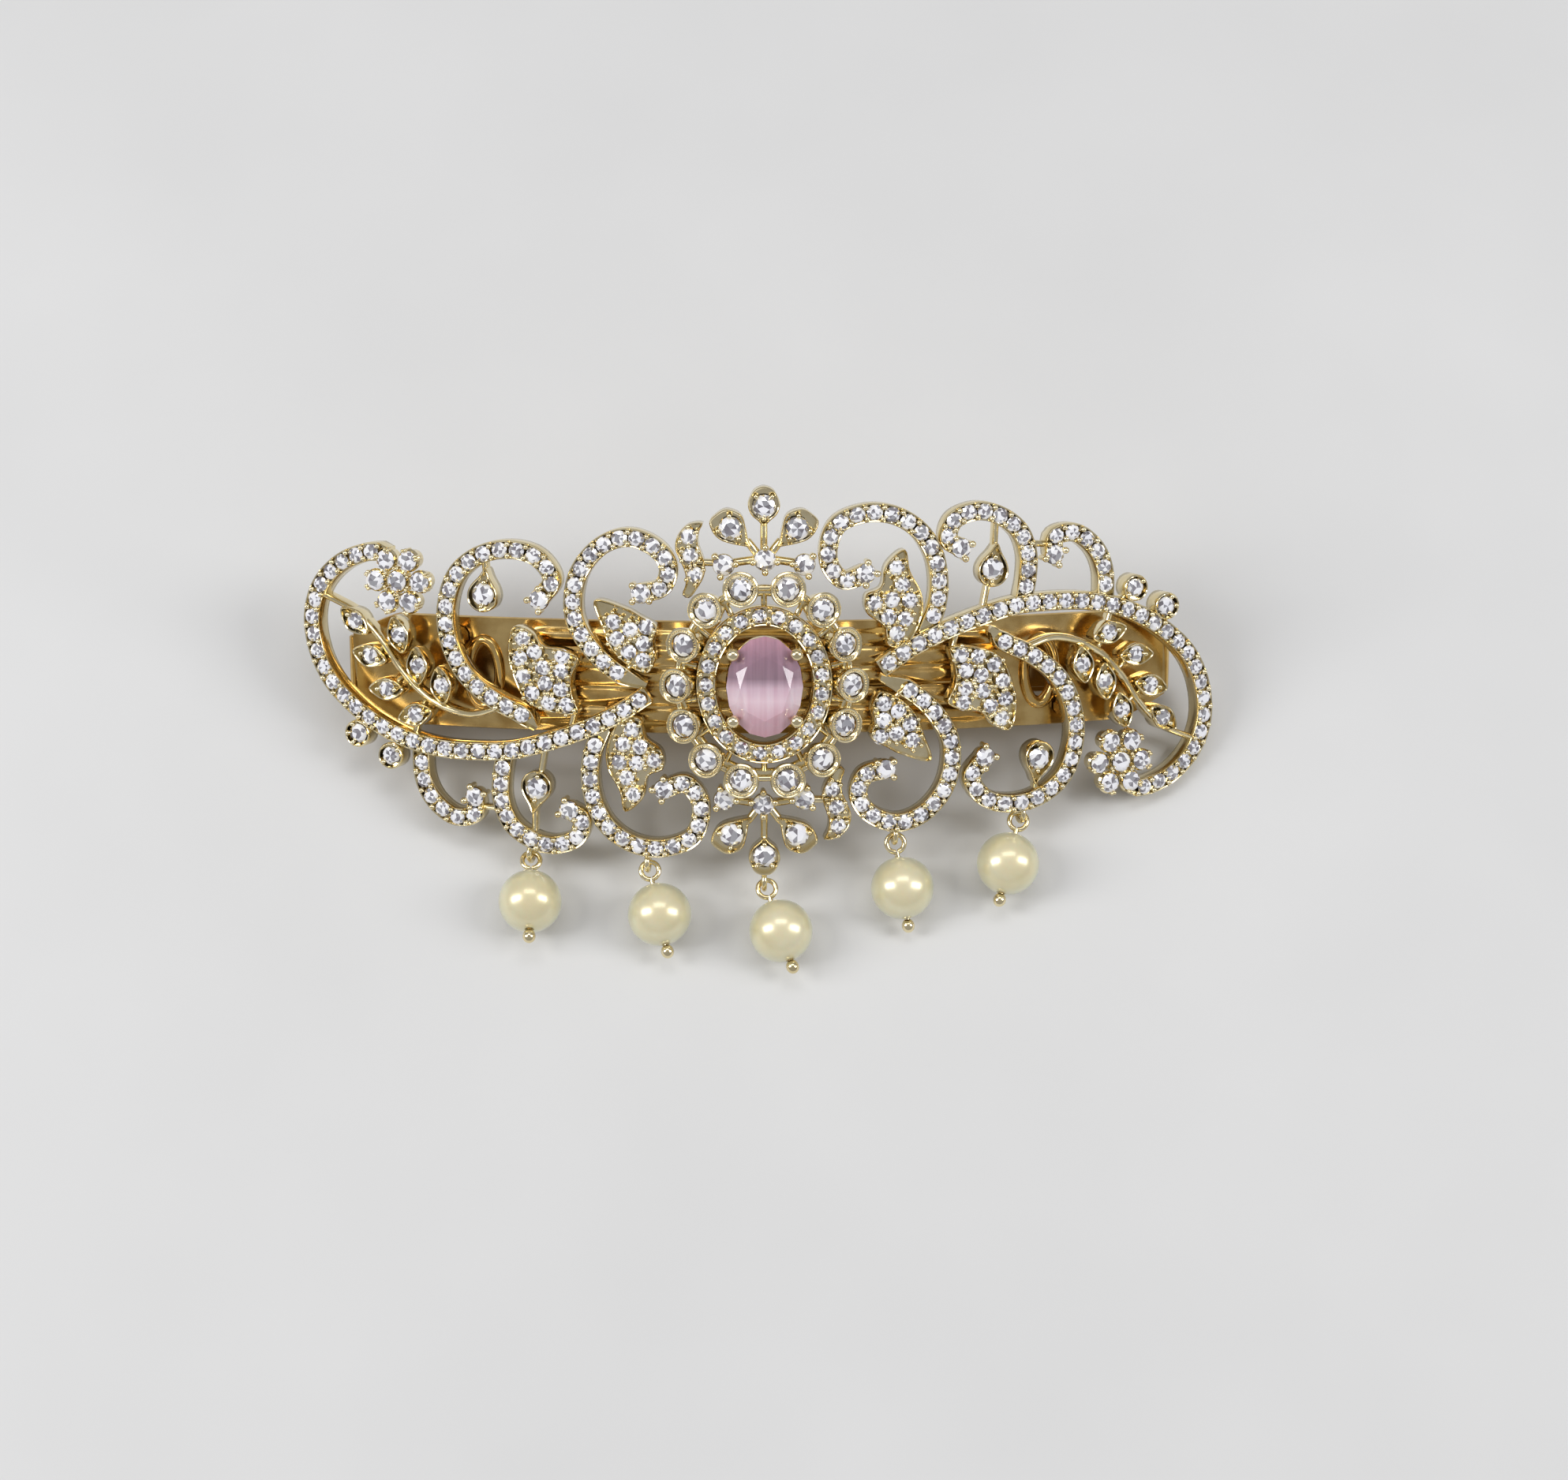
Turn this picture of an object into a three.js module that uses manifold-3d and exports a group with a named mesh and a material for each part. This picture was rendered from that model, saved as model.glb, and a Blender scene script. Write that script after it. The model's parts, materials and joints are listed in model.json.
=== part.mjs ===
// Hair barrette: an openwork casting set with stones on a French spring clip, with five pearl drops.
// Millimetres. The ornament is drawn flat as (s, y, h), where s runs along its length, y towards the
// upper crest and h out of its face, and is then bent round a cylinder whose axis is parallel to y.
// The whole piece lies rolled towards -Y on its clip and on the lower edge of the ornament.

import * as THREE from 'three';
import { mergeVertices } from 'three/addons/utils/BufferGeometryUtils.js';
import Module from 'manifold-3d';

const wasm = await Module();
wasm.setup();

// Driving dimensions
const BASE_RADIUS = 98;          // back face of the castings
const CAST_THICKNESS = 1.8;
const FACE_RADIUS = BASE_RADIUS + CAST_THICKNESS;
const BAND_HALF_WIDTH = 0.92;
const BAND_STEP = 2.3;           // length of one straight facet along a band
const END_STONE_RADIUS = 1.2;    // round setting that ends a scroll

const MEDALLION_BASE_LOW = 0.8;
const MEDALLION_BASE_HIGH = 1.4;
const BASE_INNER = [4.7, 5.8];   // semi-axes of the ring under the settings
const BASE_OUTER = [8.7, 9.6];
const HALO_HIGH = 2.9;
const HALO_CENTRE = [5.4, 6.5];  // semi-axes of the row of halo stones
const BEZEL_SPOTS = [[8.3, 0], [7.6, 3.8], [5.5, 7.05], [2.2, 9.0]];
const BEZEL_RADIUS = 1.68;
const BEZEL_HOLE_RADIUS = 1.14;
const BEZEL_LOW = 1.3;
const BEZEL_HEIGHT = 1.9;
const BEZEL_TILT = 0.44;         // outward tilt of the outermost settings, radians
const CENTRE_STONE_AXES = [3.3, 4.5];
const CLAW_SPOT = [3.05, 3.25];
const CLAW_RADIUS = 0.32;
const CLAW_LOW = 1.8;
const CLAW_HIGH = 4.0;
const CLAW_BALL_RADIUS = 0.5;
const GALLERY_LOW = 1.5;         // oval ring that carries the claws
const GALLERY_HIGH = 2.5;
const GALLERY_INNER = [2.9, 4.1];
const GALLERY_OUTER = [4.1, 5.2];

const PLATE_RADIUS = 96.6;       // outer face of the clip plate
const PLATE_THICKNESS = 0.7;
const PLATE_HALF_WIDTH = 5.4;
const PLATE_HALF_ANGLE = 0.422;
const CURL_RADIUS = 0.7;
const CURL_DROP = 0.3;
const PLATE_CORNER = [5.2, 2.3];  // length and depth of the slanted ends of the plate's edges
const CURL_HALF_LENGTH = 2.9;
const CLIP_END_X = 36.6;         // hinge pin at +x, catch at -x
const PIN_Z = -12.0;
const PIN_RADIUS = 0.55;
const PIN_BORE_RADIUS = 0.75;
const KNUCKLE_RADIUS = 1.15;
const LUG_INNER_Y = 2.95;
const LUG_THICKNESS = 0.6;
const ARM_MID_Z = -8.9;          // front face of the arm at its middle
const ARM_RADIUS = 219.7;
const ARM_THICKNESS = 0.7;
const ARM_HALF_WIDTH = 3.1;
const SPRING_MID_Z = -8.1;
const SPRING_RADIUS = 301;
const SPRING_HALF_SPAN = 33.2;
const SPRING_THICKNESS = 0.35;
const SPRING_HALF_WIDTH = 2.4;
const CATCH_X = -35.8;
const CATCH_LEG_Y = 2.0;
const CATCH_LEG_THICKNESS = 0.5;
const CATCH_LEG_HALF_LENGTH = 0.7;
const CATCH_LEG_TOP_Z = -10.4;
const CATCH_LEG_FOOT_Z = -13.6;
const CATCH_BASE_SIZE = [2.2, 5.2, 0.45];
const CATCH_WINDOW_LENGTH = 2.4;
const CATCH_WINDOW_X = CATCH_X + 0.1;
const ARM_TIP_LENGTH = 2.2;
const ARM_TIP_X = CATCH_X - 1.3;
const ARM_TIP_Z = -12.38;
const PIN_HEAD_RADIUS = 0.9;
const PIN_HEAD_THICKNESS = 0.3;
const PLATE_SLOT_X = 26.6;
const PLATE_SLOT_AXES = [1.1, 2.64];
const GAP = 0.25;                // between pieces that touch
const SIDE_PLAY = 0.3;           // between the arm and the lugs
const LOOP_FOOT = [41.1, -11.58];  // (s, y) where the right big loop rests on the table
// Solder posts (s, y, height of the casting's underside)
const MOUNT_POSTS = [
  [14.6, 3.4, 0], [30.2, -3.5, 0], [-14.6, -3.4, 0], [-30.2, 3.5, 0], [6.9, 0, MEDALLION_BASE_LOW],
  [-6.9, 0, MEDALLION_BASE_LOW],
];
const MOUNT_POST_RADIUS = 0.8;

const EYELET_RADIUS = 0.8;       // centreline of the fixed loop
const EYELET_WIRE = 0.28;
const EYELET_HEIGHT = 0.3;
const HEADPIN_EYE_RADIUS = 0.85;
const HEADPIN_WIRE = 0.25;
const PEARL_RADIUS = 3;
const PEARL_BORE_RADIUS = 0.45;
const PEARL_ALONG_PIN = 5.15;    // eyelet centre to pearl centre
const BALL_RADIUS = 0.6;
const BALL_ALONG_PIN = 8.8;
// Each drop: eyelet centre (s, y) and sideways lie of the drop in degrees
const DROPS = [
  { s: -22.7, y: -16.95, lie: 0 },
  { s: -11.2, y: -17.5, lie: 12 },
  { s: 0, y: -19.25, lie: 17 },
  { s: 12.6, y: -15.0, lie: 9 },
  { s: 25.3, y: -13.5, lie: -15 },
];

const gold = { color: 0xc9a860, roughness: 0.3, metalness: 1 };
const clipGold = { color: 0xb88a3e, roughness: 0.25, metalness: 1 };
const clear = { color: 0xe8edf0, roughness: 0.05, metalness: 0 };
const pink = { color: 0xd9a9a0, roughness: 0.08, metalness: 0 };
const cream = { color: 0xe8d9ac, roughness: 0.25, metalness: 0 };

// Solids

function solidOf(geometry) {
  const bare = geometry.index ? geometry.toNonIndexed() : geometry.clone();
  bare.deleteAttribute('normal');
  bare.deleteAttribute('uv');
  const merged = mergeVertices(bare, 1e-4);
  return new wasm.Manifold(new wasm.Mesh({
    numProp: 3,
    vertProperties: new Float32Array(merged.attributes.position.array),
    triVerts: new Uint32Array(merged.index.array),
  }));
}

function geometryOf(solid) {
  const mesh = solid.getMesh();
  const geometry = new THREE.BufferGeometry();
  geometry.setAttribute('position', new THREE.BufferAttribute(new Float32Array(mesh.vertProperties), 3));
  geometry.setIndex(new THREE.BufferAttribute(new Uint32Array(mesh.triVerts), 1));
  geometry.computeVertexNormals();
  return geometry;
}

function joined(solids) {
  return solids.reduce((whole, solid) => whole.add(solid));
}

function slab(shape, low, high) {
  const options = { depth: high - low, bevelEnabled: false, curveSegments: 5 };
  const geometry = new THREE.ExtrudeGeometry(shape, options);
  return geometry.translate(0, 0, low);
}

// Wraps a flat (s, y, h) geometry round the ornament's cylinder.
function bend(geometry) {
  const points = geometry.attributes.position;
  for (let i = 0; i < points.count; i += 1) {
    const spot = bentPoint(points.getX(i), points.getY(i), points.getZ(i));
    points.setXYZ(i, spot.x, spot.y, spot.z);
  }
  geometry.computeVertexNormals();
  return geometry;
}

function bentPoint(s, y, h) {
  const angle = s / FACE_RADIUS;
  const radius = BASE_RADIUS + h;
  return new THREE.Vector3(radius * Math.sin(angle), y, radius * Math.cos(angle) - BASE_RADIUS);
}

function named(name, geometry, look) {
  const mesh = new THREE.Mesh(geometry, new THREE.MeshStandardMaterial(look));
  mesh.name = name;
  return mesh;
}

// Flat outlines

function smoothLine(points, closed = false) {
  const places = points.map(([x, y]) => new THREE.Vector3(x, y, 0));
  return new THREE.CatmullRomCurve3(places, closed, 'centripetal');
}

// A ribbon of even width along a smooth line through the given points.
function bandShape(points, halfWidth = BAND_HALF_WIDTH) {
  const line = smoothLine(points);
  const steps = points.length > 2 ? Math.max(3, Math.round(line.getLength() / BAND_STEP)) : 1;
  const left = [];
  const right = [];
  for (let i = 0; i <= steps; i += 1) {
    const spot = line.getPointAt(i / steps);
    const along = line.getTangentAt(i / steps);
    left.push(new THREE.Vector2(spot.x - along.y * halfWidth, spot.y + along.x * halfWidth));
    right.push(new THREE.Vector2(spot.x + along.y * halfWidth, spot.y - along.x * halfWidth));
  }
  return new THREE.Shape([...left, ...right.reverse()]);
}

function discShape(x, y, radius, sides = 8) {
  const points = [];
  for (let i = 0; i < sides; i += 1) {
    const angle = (i + 0.5) * 2 * Math.PI / sides;
    points.push(new THREE.Vector2(x + radius * Math.cos(angle), y + radius * Math.sin(angle)));
  }
  return new THREE.Shape(points);
}

// A round end at the centre and a pointed tip in the given direction.
function dropShape(x, y, radius, reach, degrees) {
  const direction = degrees * Math.PI / 180;
  const steps = 6;
  const points = [new THREE.Vector2(x + reach * Math.cos(direction), y + reach * Math.sin(direction))];
  for (let i = 0; i <= steps; i += 1) {
    const angle = direction + 1.05 + i / steps * (2 * Math.PI - 2.1);
    points.push(new THREE.Vector2(x + radius * Math.cos(angle), y + radius * Math.sin(angle)));
  }
  return new THREE.Shape(points);
}

// A leaf pointed at both ends, its long axis in the given direction.
function leafShape(x, y, degrees) {
  const direction = degrees * Math.PI / 180;
  const outline = [
    [1.75, 0], [0.95, 0.8], [0, 1.1], [-0.95, 0.8], [-1.75, 0], [-0.95, -0.8], [0, -1.1], [0.95, -0.8],
  ];
  return new THREE.Shape(outline.map(([u, v]) => new THREE.Vector2(
    x + u * Math.cos(direction) - v * Math.sin(direction),
    y + u * Math.sin(direction) + v * Math.cos(direction),
  )));
}

function ellipseRing(inner, outer, sides) {
  const loop = ([a, b]) => Array.from({ length: sides }, (unused, i) => {
    const angle = i * 2 * Math.PI / sides;
    return new THREE.Vector2(a * Math.cos(angle), b * Math.sin(angle));
  });
  const shape = new THREE.Shape(loop(outer));
  shape.holes.push(new THREE.Path(loop(inner).reverse()));
  return shape;
}

function smoothShape(points, divisions) {
  const spots = smoothLine(points, true).getPoints(divisions).slice(0, -1);
  return new THREE.Shape(spots.map((p) => new THREE.Vector2(p.x, p.y)));
}

// Right wing, flat. The left wing is the same casting turned half a turn.

const BIG_LOOP = [
  [11.0, 1.2], [13.8, 3.05], [17.0, 4.6], [20.3, 5.8], [24.0, 6.8], [27.5, 7.05], [31.0, 6.95], [34.5, 6.3],
  [37.7, 5.0], [40.5, 3.2], [42.8, 1.0], [44.3, -1.9], [44.7, -5.2], [43.7, -8.1], [41.4, -10.35],
  [38.6, -11.5], [36.2, -11.65],
];
const INNER_HOOK = [
  [21.7, 4.6], [22.9, 3.45], [25.8, 2.0], [28.6, -0.3], [30.2, -3.5], [30.4, -6.7], [29.2, -9.9],
  [26.6, -12.0], [23.6, -12.5], [21.2, -11.6], [19.9, -9.5], [21.2, -7.7],
];
const SECOND_SCROLL = [
  [24.7, 6.8], [25.2, 9.5], [25.2, 11.7], [24.3, 13.9], [22.1, 15.45], [19.9, 15.8], [17.8, 14.9],
  [17.4, 13.2], [18.6, 12.4],
];
const SMALL_HOOK = [[33.3, 6.6], [33.1, 10.0], [32.0, 12.1], [29.9, 13.5], [27.9, 13.1], [27.9, 11.5]];
const BIG_SCROLL = [
  [9.5, 10.2], [7.5, 9.6], [6.2, 10.9], [6.0, 12.7], [6.9, 14.8], [9.7, 15.85], [12.4, 15.5],
  [14.6, 14.1], [16.0, 11.9], [16.5, 9.4], [16.3, 7.0], [15.3, 4.4],
];
const LOWER_SCROLL = [
  [11.1, 0.3], [13.6, -0.8], [16.0, -2.85], [17.7, -5.6], [17.9, -8.1], [17.1, -10.7], [15.0, -12.9],
  [12.5, -13.6], [9.9, -12.5], [8.9, -10.8], [9.5, -9.0], [11.5, -8.4],
];
const VINE_STEM = [
  [25.6, 2.9], [28.0, 3.55], [30.5, 3.1], [32.9, 1.9], [35.2, -0.3], [37.4, -3.3], [39.8, -5.6],
  [43.6, -7.3],
];
const VINE_LEAVES = [
  [33.75, 3.8, 15], [36.7, 1.5, 0], [38.4, -1.6, -15], [39.9, -4.9, -40],
  [31.0, 0.85, 278], [33.4, -0.9, 275], [35.3, -3.8, 285],
];
const UPPER_LEAF = [
  [13.0, 12.1], [11.4, 11.0], [10.9, 8.9], [9.5, 8.2], [9.6, 6.5], [11.4, 5.2], [11.6, 3.2],
  [13.4, 3.4], [14.9, 6.2], [14.8, 8.3], [13.7, 10.4],
];
const LOWER_LEAF = [
  [10.9, -0.9], [10.1, -2.4], [10.3, -3.8], [10.0, -5.3], [11.6, -6.3], [12.9, -7.0], [15.9, -7.5],
  [15.2, -5.2], [14.4, -3.2], [12.6, -1.5],
];
const GRAPE_LEAF = [
  [17.5, 3.0], [20.4, 3.0], [22.6, 2.0], [23.8, -0.3], [24.3, -2.8], [23.6, -5.1], [21.8, -4.5],
  [20.8, -3.3], [18.9, -3.0], [17.4, -2.2], [18.1, -0.4], [18.0, 1.4],
];
const WING_LINKS = [
  [[16.0, 12.6], [17.4, 13.2]], [[25.2, 12.6], [27.9, 12.4]], [[17.9, 3.0], [18.6, 5.2]],
  [[12.4, 4.0], [13.4, 2.8]], [[10.8, 4.8], [12.9, 2.6]], [[12.4, -1.6], [13.5, -0.8]],
  [[22.0, 12.4], [22.1, 15.0]], [[21.4, 9.0], [20.9, 6.4]], [[26.5, -10.0], [26.6, -11.6]],
  [[33.5, 3.9], [34.2, 6.0]], [[40.2, 3.6], [39.9, 5.9]], [[34.8, 6.4], [36.4, 7.8]],
];
const FLOWER_CENTRE = [35.3, -8.9];
const FLOWER_RING = 2.35;
const FLOWER_PETAL_RADIUS = 1.25;

function wingSolid() {
  const shapes = [BIG_LOOP, INNER_HOOK, SECOND_SCROLL, SMALL_HOOK, BIG_SCROLL, LOWER_SCROLL]
    .map((points) => bandShape(points));
  shapes.push(bandShape(VINE_STEM, 0.45));
  const stem = smoothLine(VINE_STEM).getPoints(40);
  WING_LINKS.forEach((points) => shapes.push(bandShape(points, 0.4)));
  VINE_LEAVES.forEach(([x, y, degrees]) => {
    const distance = (p) => Math.hypot(p.x - x, p.y - y);
    const root = stem.reduce((best, p) => (distance(p) < distance(best) ? p : best));
    shapes.push(leafShape(x, y, degrees));
    shapes.push(bandShape([[x, y], [root.x, root.y]], 0.3));
  });
  [UPPER_LEAF, LOWER_LEAF, GRAPE_LEAF].forEach((points) => shapes.push(smoothShape(points, 18)));
  [[9.5, 10.2], [18.6, 12.4], [27.9, 11.5], [21.2, -7.6], [11.5, -8.4]]
    .forEach(([x, y]) => shapes.push(discShape(x, y, END_STONE_RADIUS)));
  shapes.push(dropShape(21.7, 10.35, 1.6, 2.4, 82), dropShape(26.6, -8.0, 1.6, 2.4, 262));
  shapes.push(discShape(36.4, 7.95, 1.3), discShape(39.9, 6.0, 1.35));
  shapes.push(discShape(FLOWER_CENTRE[0], FLOWER_CENTRE[1], 1.4));
  for (let i = 0; i < 6; i += 1) {
    const angle = i * Math.PI / 3;
    const x = FLOWER_CENTRE[0] + FLOWER_RING * Math.cos(angle);
    const y = FLOWER_CENTRE[1] + FLOWER_RING * Math.sin(angle);
    shapes.push(discShape(x, y, FLOWER_PETAL_RADIUS));
  }
  return joined(shapes.map((shape) => solidOf(slab(shape, 0, CAST_THICKNESS))));
}

// Crest: a fan of three petals over three round settings, with an S-shaped leaf beside it.

const TOP_PETAL = [
  [0, 18.4], [0.85, 18.1], [1.3, 17.4], [1.5, 16.7], [1.2, 15.8], [0.55, 15.2], [0, 14.7],
  [-0.55, 15.2], [-1.2, 15.8], [-1.5, 16.7], [-1.3, 17.4], [-0.85, 18.1],
];
const SIDE_PETAL = [
  [-5.05, 15.2], [-4.5, 15.8], [-3.6, 16.3], [-2.5, 16.05], [-2.0, 15.6], [-1.65, 14.45], [-1.45, 13.45],
  [-1.15, 12.8], [-2.05, 12.9], [-3.05, 13.1], [-4.05, 13.45], [-4.75, 14.15],
];
const S_LEAF = [
  [-5.65, 15.0], [-7.0, 14.9], [-8.0, 13.9], [-8.25, 12.7], [-7.75, 11.4], [-7.35, 10.4], [-7.3, 9.3],
  [-7.6, 8.3], [-7.0, 8.0], [-6.2, 8.9], [-5.5, 10.3], [-5.6, 11.6], [-6.1, 13.1], [-6.0, 14.2],
];

const CREST_ROUNDS = [[0.1, 11.57, 1.2], [-3.75, 11.1, 1.05], [3.75, 11.1, 1.05]];

function crestSolid() {
  const shapes = [
    smoothShape(TOP_PETAL, 12),
    smoothShape(SIDE_PETAL, 12),
    smoothShape(SIDE_PETAL.map(([x, y]) => [-x, y]), 12),
    ...CREST_ROUNDS.map(([x, y, r]) => discShape(x, y, r)),
    bandShape([[-3.75, 11.1], [-1.8, 11.4], [0.1, 11.6], [1.8, 11.4], [3.75, 11.1]], 0.45),
    bandShape([[-1.6, 13.3], [0, 11.7], [1.6, 13.3]], 0.4),
    bandShape([[0, 11.6], [0, 15.5]], 0.4),
    smoothShape(S_LEAF, 16),
    bandShape([[-6.3, 11.3], [-3.75, 11.2]], 0.4),
  ];
  return joined(shapes.map((shape) => solidOf(slab(shape, 0, CAST_THICKNESS))));
}

// A fixed loop whose hole runs along x, hanging from the edge of a casting.
function eyeletSolid(s, y) {
  const ring = solidOf(new THREE.TorusGeometry(EYELET_RADIUS, EYELET_WIRE, 6, 12).rotateY(Math.PI / 2));
  return ring.translate(s, y, EYELET_HEIGHT);
}

function halfTurn(solid) {
  return solid.rotate(0, 0, 180);
}

function cast(name, solid) {
  return named(name, bend(geometryOf(solid)), gold);
}

function castings() {
  const loops = DROPS.map((drop) => eyeletSolid(drop.s, drop.y));
  return [
    cast('wing_right', joined([wingSolid(), loops[3], loops[4]])),
    cast('wing_left', joined([halfTurn(wingSolid()), loops[0], loops[1]])),
    cast('crest_upper', crestSolid()),
    cast('crest_lower', joined([halfTurn(crestSolid()), loops[2]])),
  ];
}

// Medallion

function bezelPlaces() {
  const quarter = BEZEL_SPOTS;
  const places = quarter.map(([x, y]) => [x, y]);
  quarter.slice().reverse().forEach(([x, y]) => places.push([-x, y]));
  quarter.slice(1).forEach(([x, y]) => places.push([-x, -y]));
  quarter.slice(1).reverse().forEach(([x, y]) => places.push([x, -y]));
  return places;
}

function placeInBezel(geometry, [x, y]) {
  const tilt = BEZEL_TILT * x / BEZEL_SPOTS[0][0];
  return geometry.translate(0, 0, -BEZEL_HEIGHT).rotateY(tilt).translate(x, y, BEZEL_LOW + BEZEL_HEIGHT);
}

function bezelCup() {
  const profile = [
    [BEZEL_HOLE_RADIUS, 0], [1.4, 0], [BEZEL_RADIUS, BEZEL_HEIGHT], [BEZEL_HOLE_RADIUS, BEZEL_HEIGHT],
    [BEZEL_HOLE_RADIUS, 0],
  ];
  const points = profile.map(([r, z]) => new THREE.Vector2(r, z));
  return new THREE.LatheGeometry(points, 12).rotateX(Math.PI / 2);
}

// Stone profiles as (radius, height): culet, girdle, table.
const ROUND_STONE_PROFILE = [[0, 0.75], [1.0, 1.35], [1.0, 1.45], [0.55, 1.75], [0, 1.75]];
const CENTRE_STONE_PROFILE = [[0, 1.7], [0.45, 2.2], [1, 3.3], [1, 3.5], [0.62, 4.7], [0, 4.7]];

function roundStone() {
  const points = ROUND_STONE_PROFILE.map(([r, z]) => new THREE.Vector2(r, z));
  return new THREE.LatheGeometry(points, 8).rotateX(Math.PI / 2);
}

function medallion() {
  const base = slab(ellipseRing(BASE_INNER, BASE_OUTER, 36), MEDALLION_BASE_LOW, MEDALLION_BASE_HIGH);
  const [a, b] = HALO_CENTRE;
  const halo = slab(
    ellipseRing([a - BAND_HALF_WIDTH, b - BAND_HALF_WIDTH], [a + 0.85, b + 0.85], 36),
    MEDALLION_BASE_HIGH - 0.2,
    HALO_HIGH,
  );
  const hole = new THREE.CylinderGeometry(BEZEL_HOLE_RADIUS, BEZEL_HOLE_RADIUS, 5, 12);
  hole.rotateX(Math.PI / 2);
  let frame = joined([solidOf(base), solidOf(halo)]);
  bezelPlaces().forEach((place) => {
    frame = frame.subtract(solidOf(placeInBezel(hole.clone(), place)));
    frame = frame.add(solidOf(placeInBezel(bezelCup(), place)));
  });
  const stones = bezelPlaces().map((place, i) => {
    const number = String(i + 1).padStart(2, '0');
    return named(`bezel_stone_${number}`, bend(placeInBezel(roundStone(), place)), clear);
  });
  return [cast('medallion_frame', frame), ...stones];
}

function centreSetting() {
  const [a, b] = CENTRE_STONE_AXES;
  const parts = [solidOf(slab(ellipseRing(GALLERY_INNER, GALLERY_OUTER, 24), GALLERY_LOW, GALLERY_HIGH))];
  [[1, 1], [-1, 1], [-1, -1], [1, -1]].forEach(([i, j]) => {
    const claw = new THREE.CylinderGeometry(CLAW_RADIUS, CLAW_RADIUS, CLAW_HIGH - CLAW_LOW, 6);
    claw.rotateX(Math.PI / 2).translate(0, 0, (CLAW_LOW + CLAW_HIGH) / 2);
    const tip = new THREE.SphereGeometry(CLAW_BALL_RADIUS, 8, 5).translate(0, 0, CLAW_HIGH);
    parts.push(joined([solidOf(claw), solidOf(tip)]).translate(i * CLAW_SPOT[0], j * CLAW_SPOT[1], 0));
  });
  const points = CENTRE_STONE_PROFILE.map(([r, z]) => new THREE.Vector2(r, z));
  const stone = new THREE.LatheGeometry(points, 16);
  stone.rotateX(Math.PI / 2).scale(a, b, 1);
  return [cast('centre_basket', joined(parts)), named('centre_stone', stone, pink)];
}

// Clip

// Closed side outline between two arcs centred on x = 0, swept across the clip.
function archShape(radius, midZ, thickness, halfSpan, facets) {
  const outer = [];
  const inner = [];
  for (let i = 0; i <= facets; i += 1) {
    const x = halfSpan * (2 * i / facets - 1);
    const drop = radius - Math.sqrt(radius * radius - x * x);
    outer.push(new THREE.Vector2(x, midZ - drop));
    inner.push(new THREE.Vector2(x, midZ - drop - thickness));
  }
  return new THREE.Shape([...inner, ...outer.reverse()]);
}

// Turns a shape drawn in (x, z) into a solid that spans y from low to high.
function acrossClip(shape, low, high) {
  return solidOf(slab(shape, -high, -low).rotateX(Math.PI / 2));
}

// Height of the middle of the plate's thickness at x.
function plateMiddle(x) {
  return Math.sqrt((PLATE_RADIUS - PLATE_THICKNESS / 2) ** 2 - x ** 2) - BASE_RADIUS;
}

// Prisms that slant the four corners of the plate.
function plateCorners() {
  const end = PLATE_RADIUS * Math.sin(PLATE_HALF_ANGLE) + 1;
  const [length, depth] = PLATE_CORNER;
  const corners = [];
  [[1, 1], [-1, 1], [-1, -1], [1, -1]].forEach(([i, j]) => {
    const corner = new THREE.Shape();
    corner.moveTo(i * (end - 1 - length), j * (PLATE_HALF_WIDTH + 0.01));
    corner.lineTo(i * end, j * (PLATE_HALF_WIDTH - depth * (1 + 1 / length)));
    corner.lineTo(i * end, j * (PLATE_HALF_WIDTH + 1));
    corner.lineTo(i * (end - 1 - length), j * (PLATE_HALF_WIDTH + 1));
    corners.push(solidOf(slab(corner, -20, 5)));
  });
  return corners;
}

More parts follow.
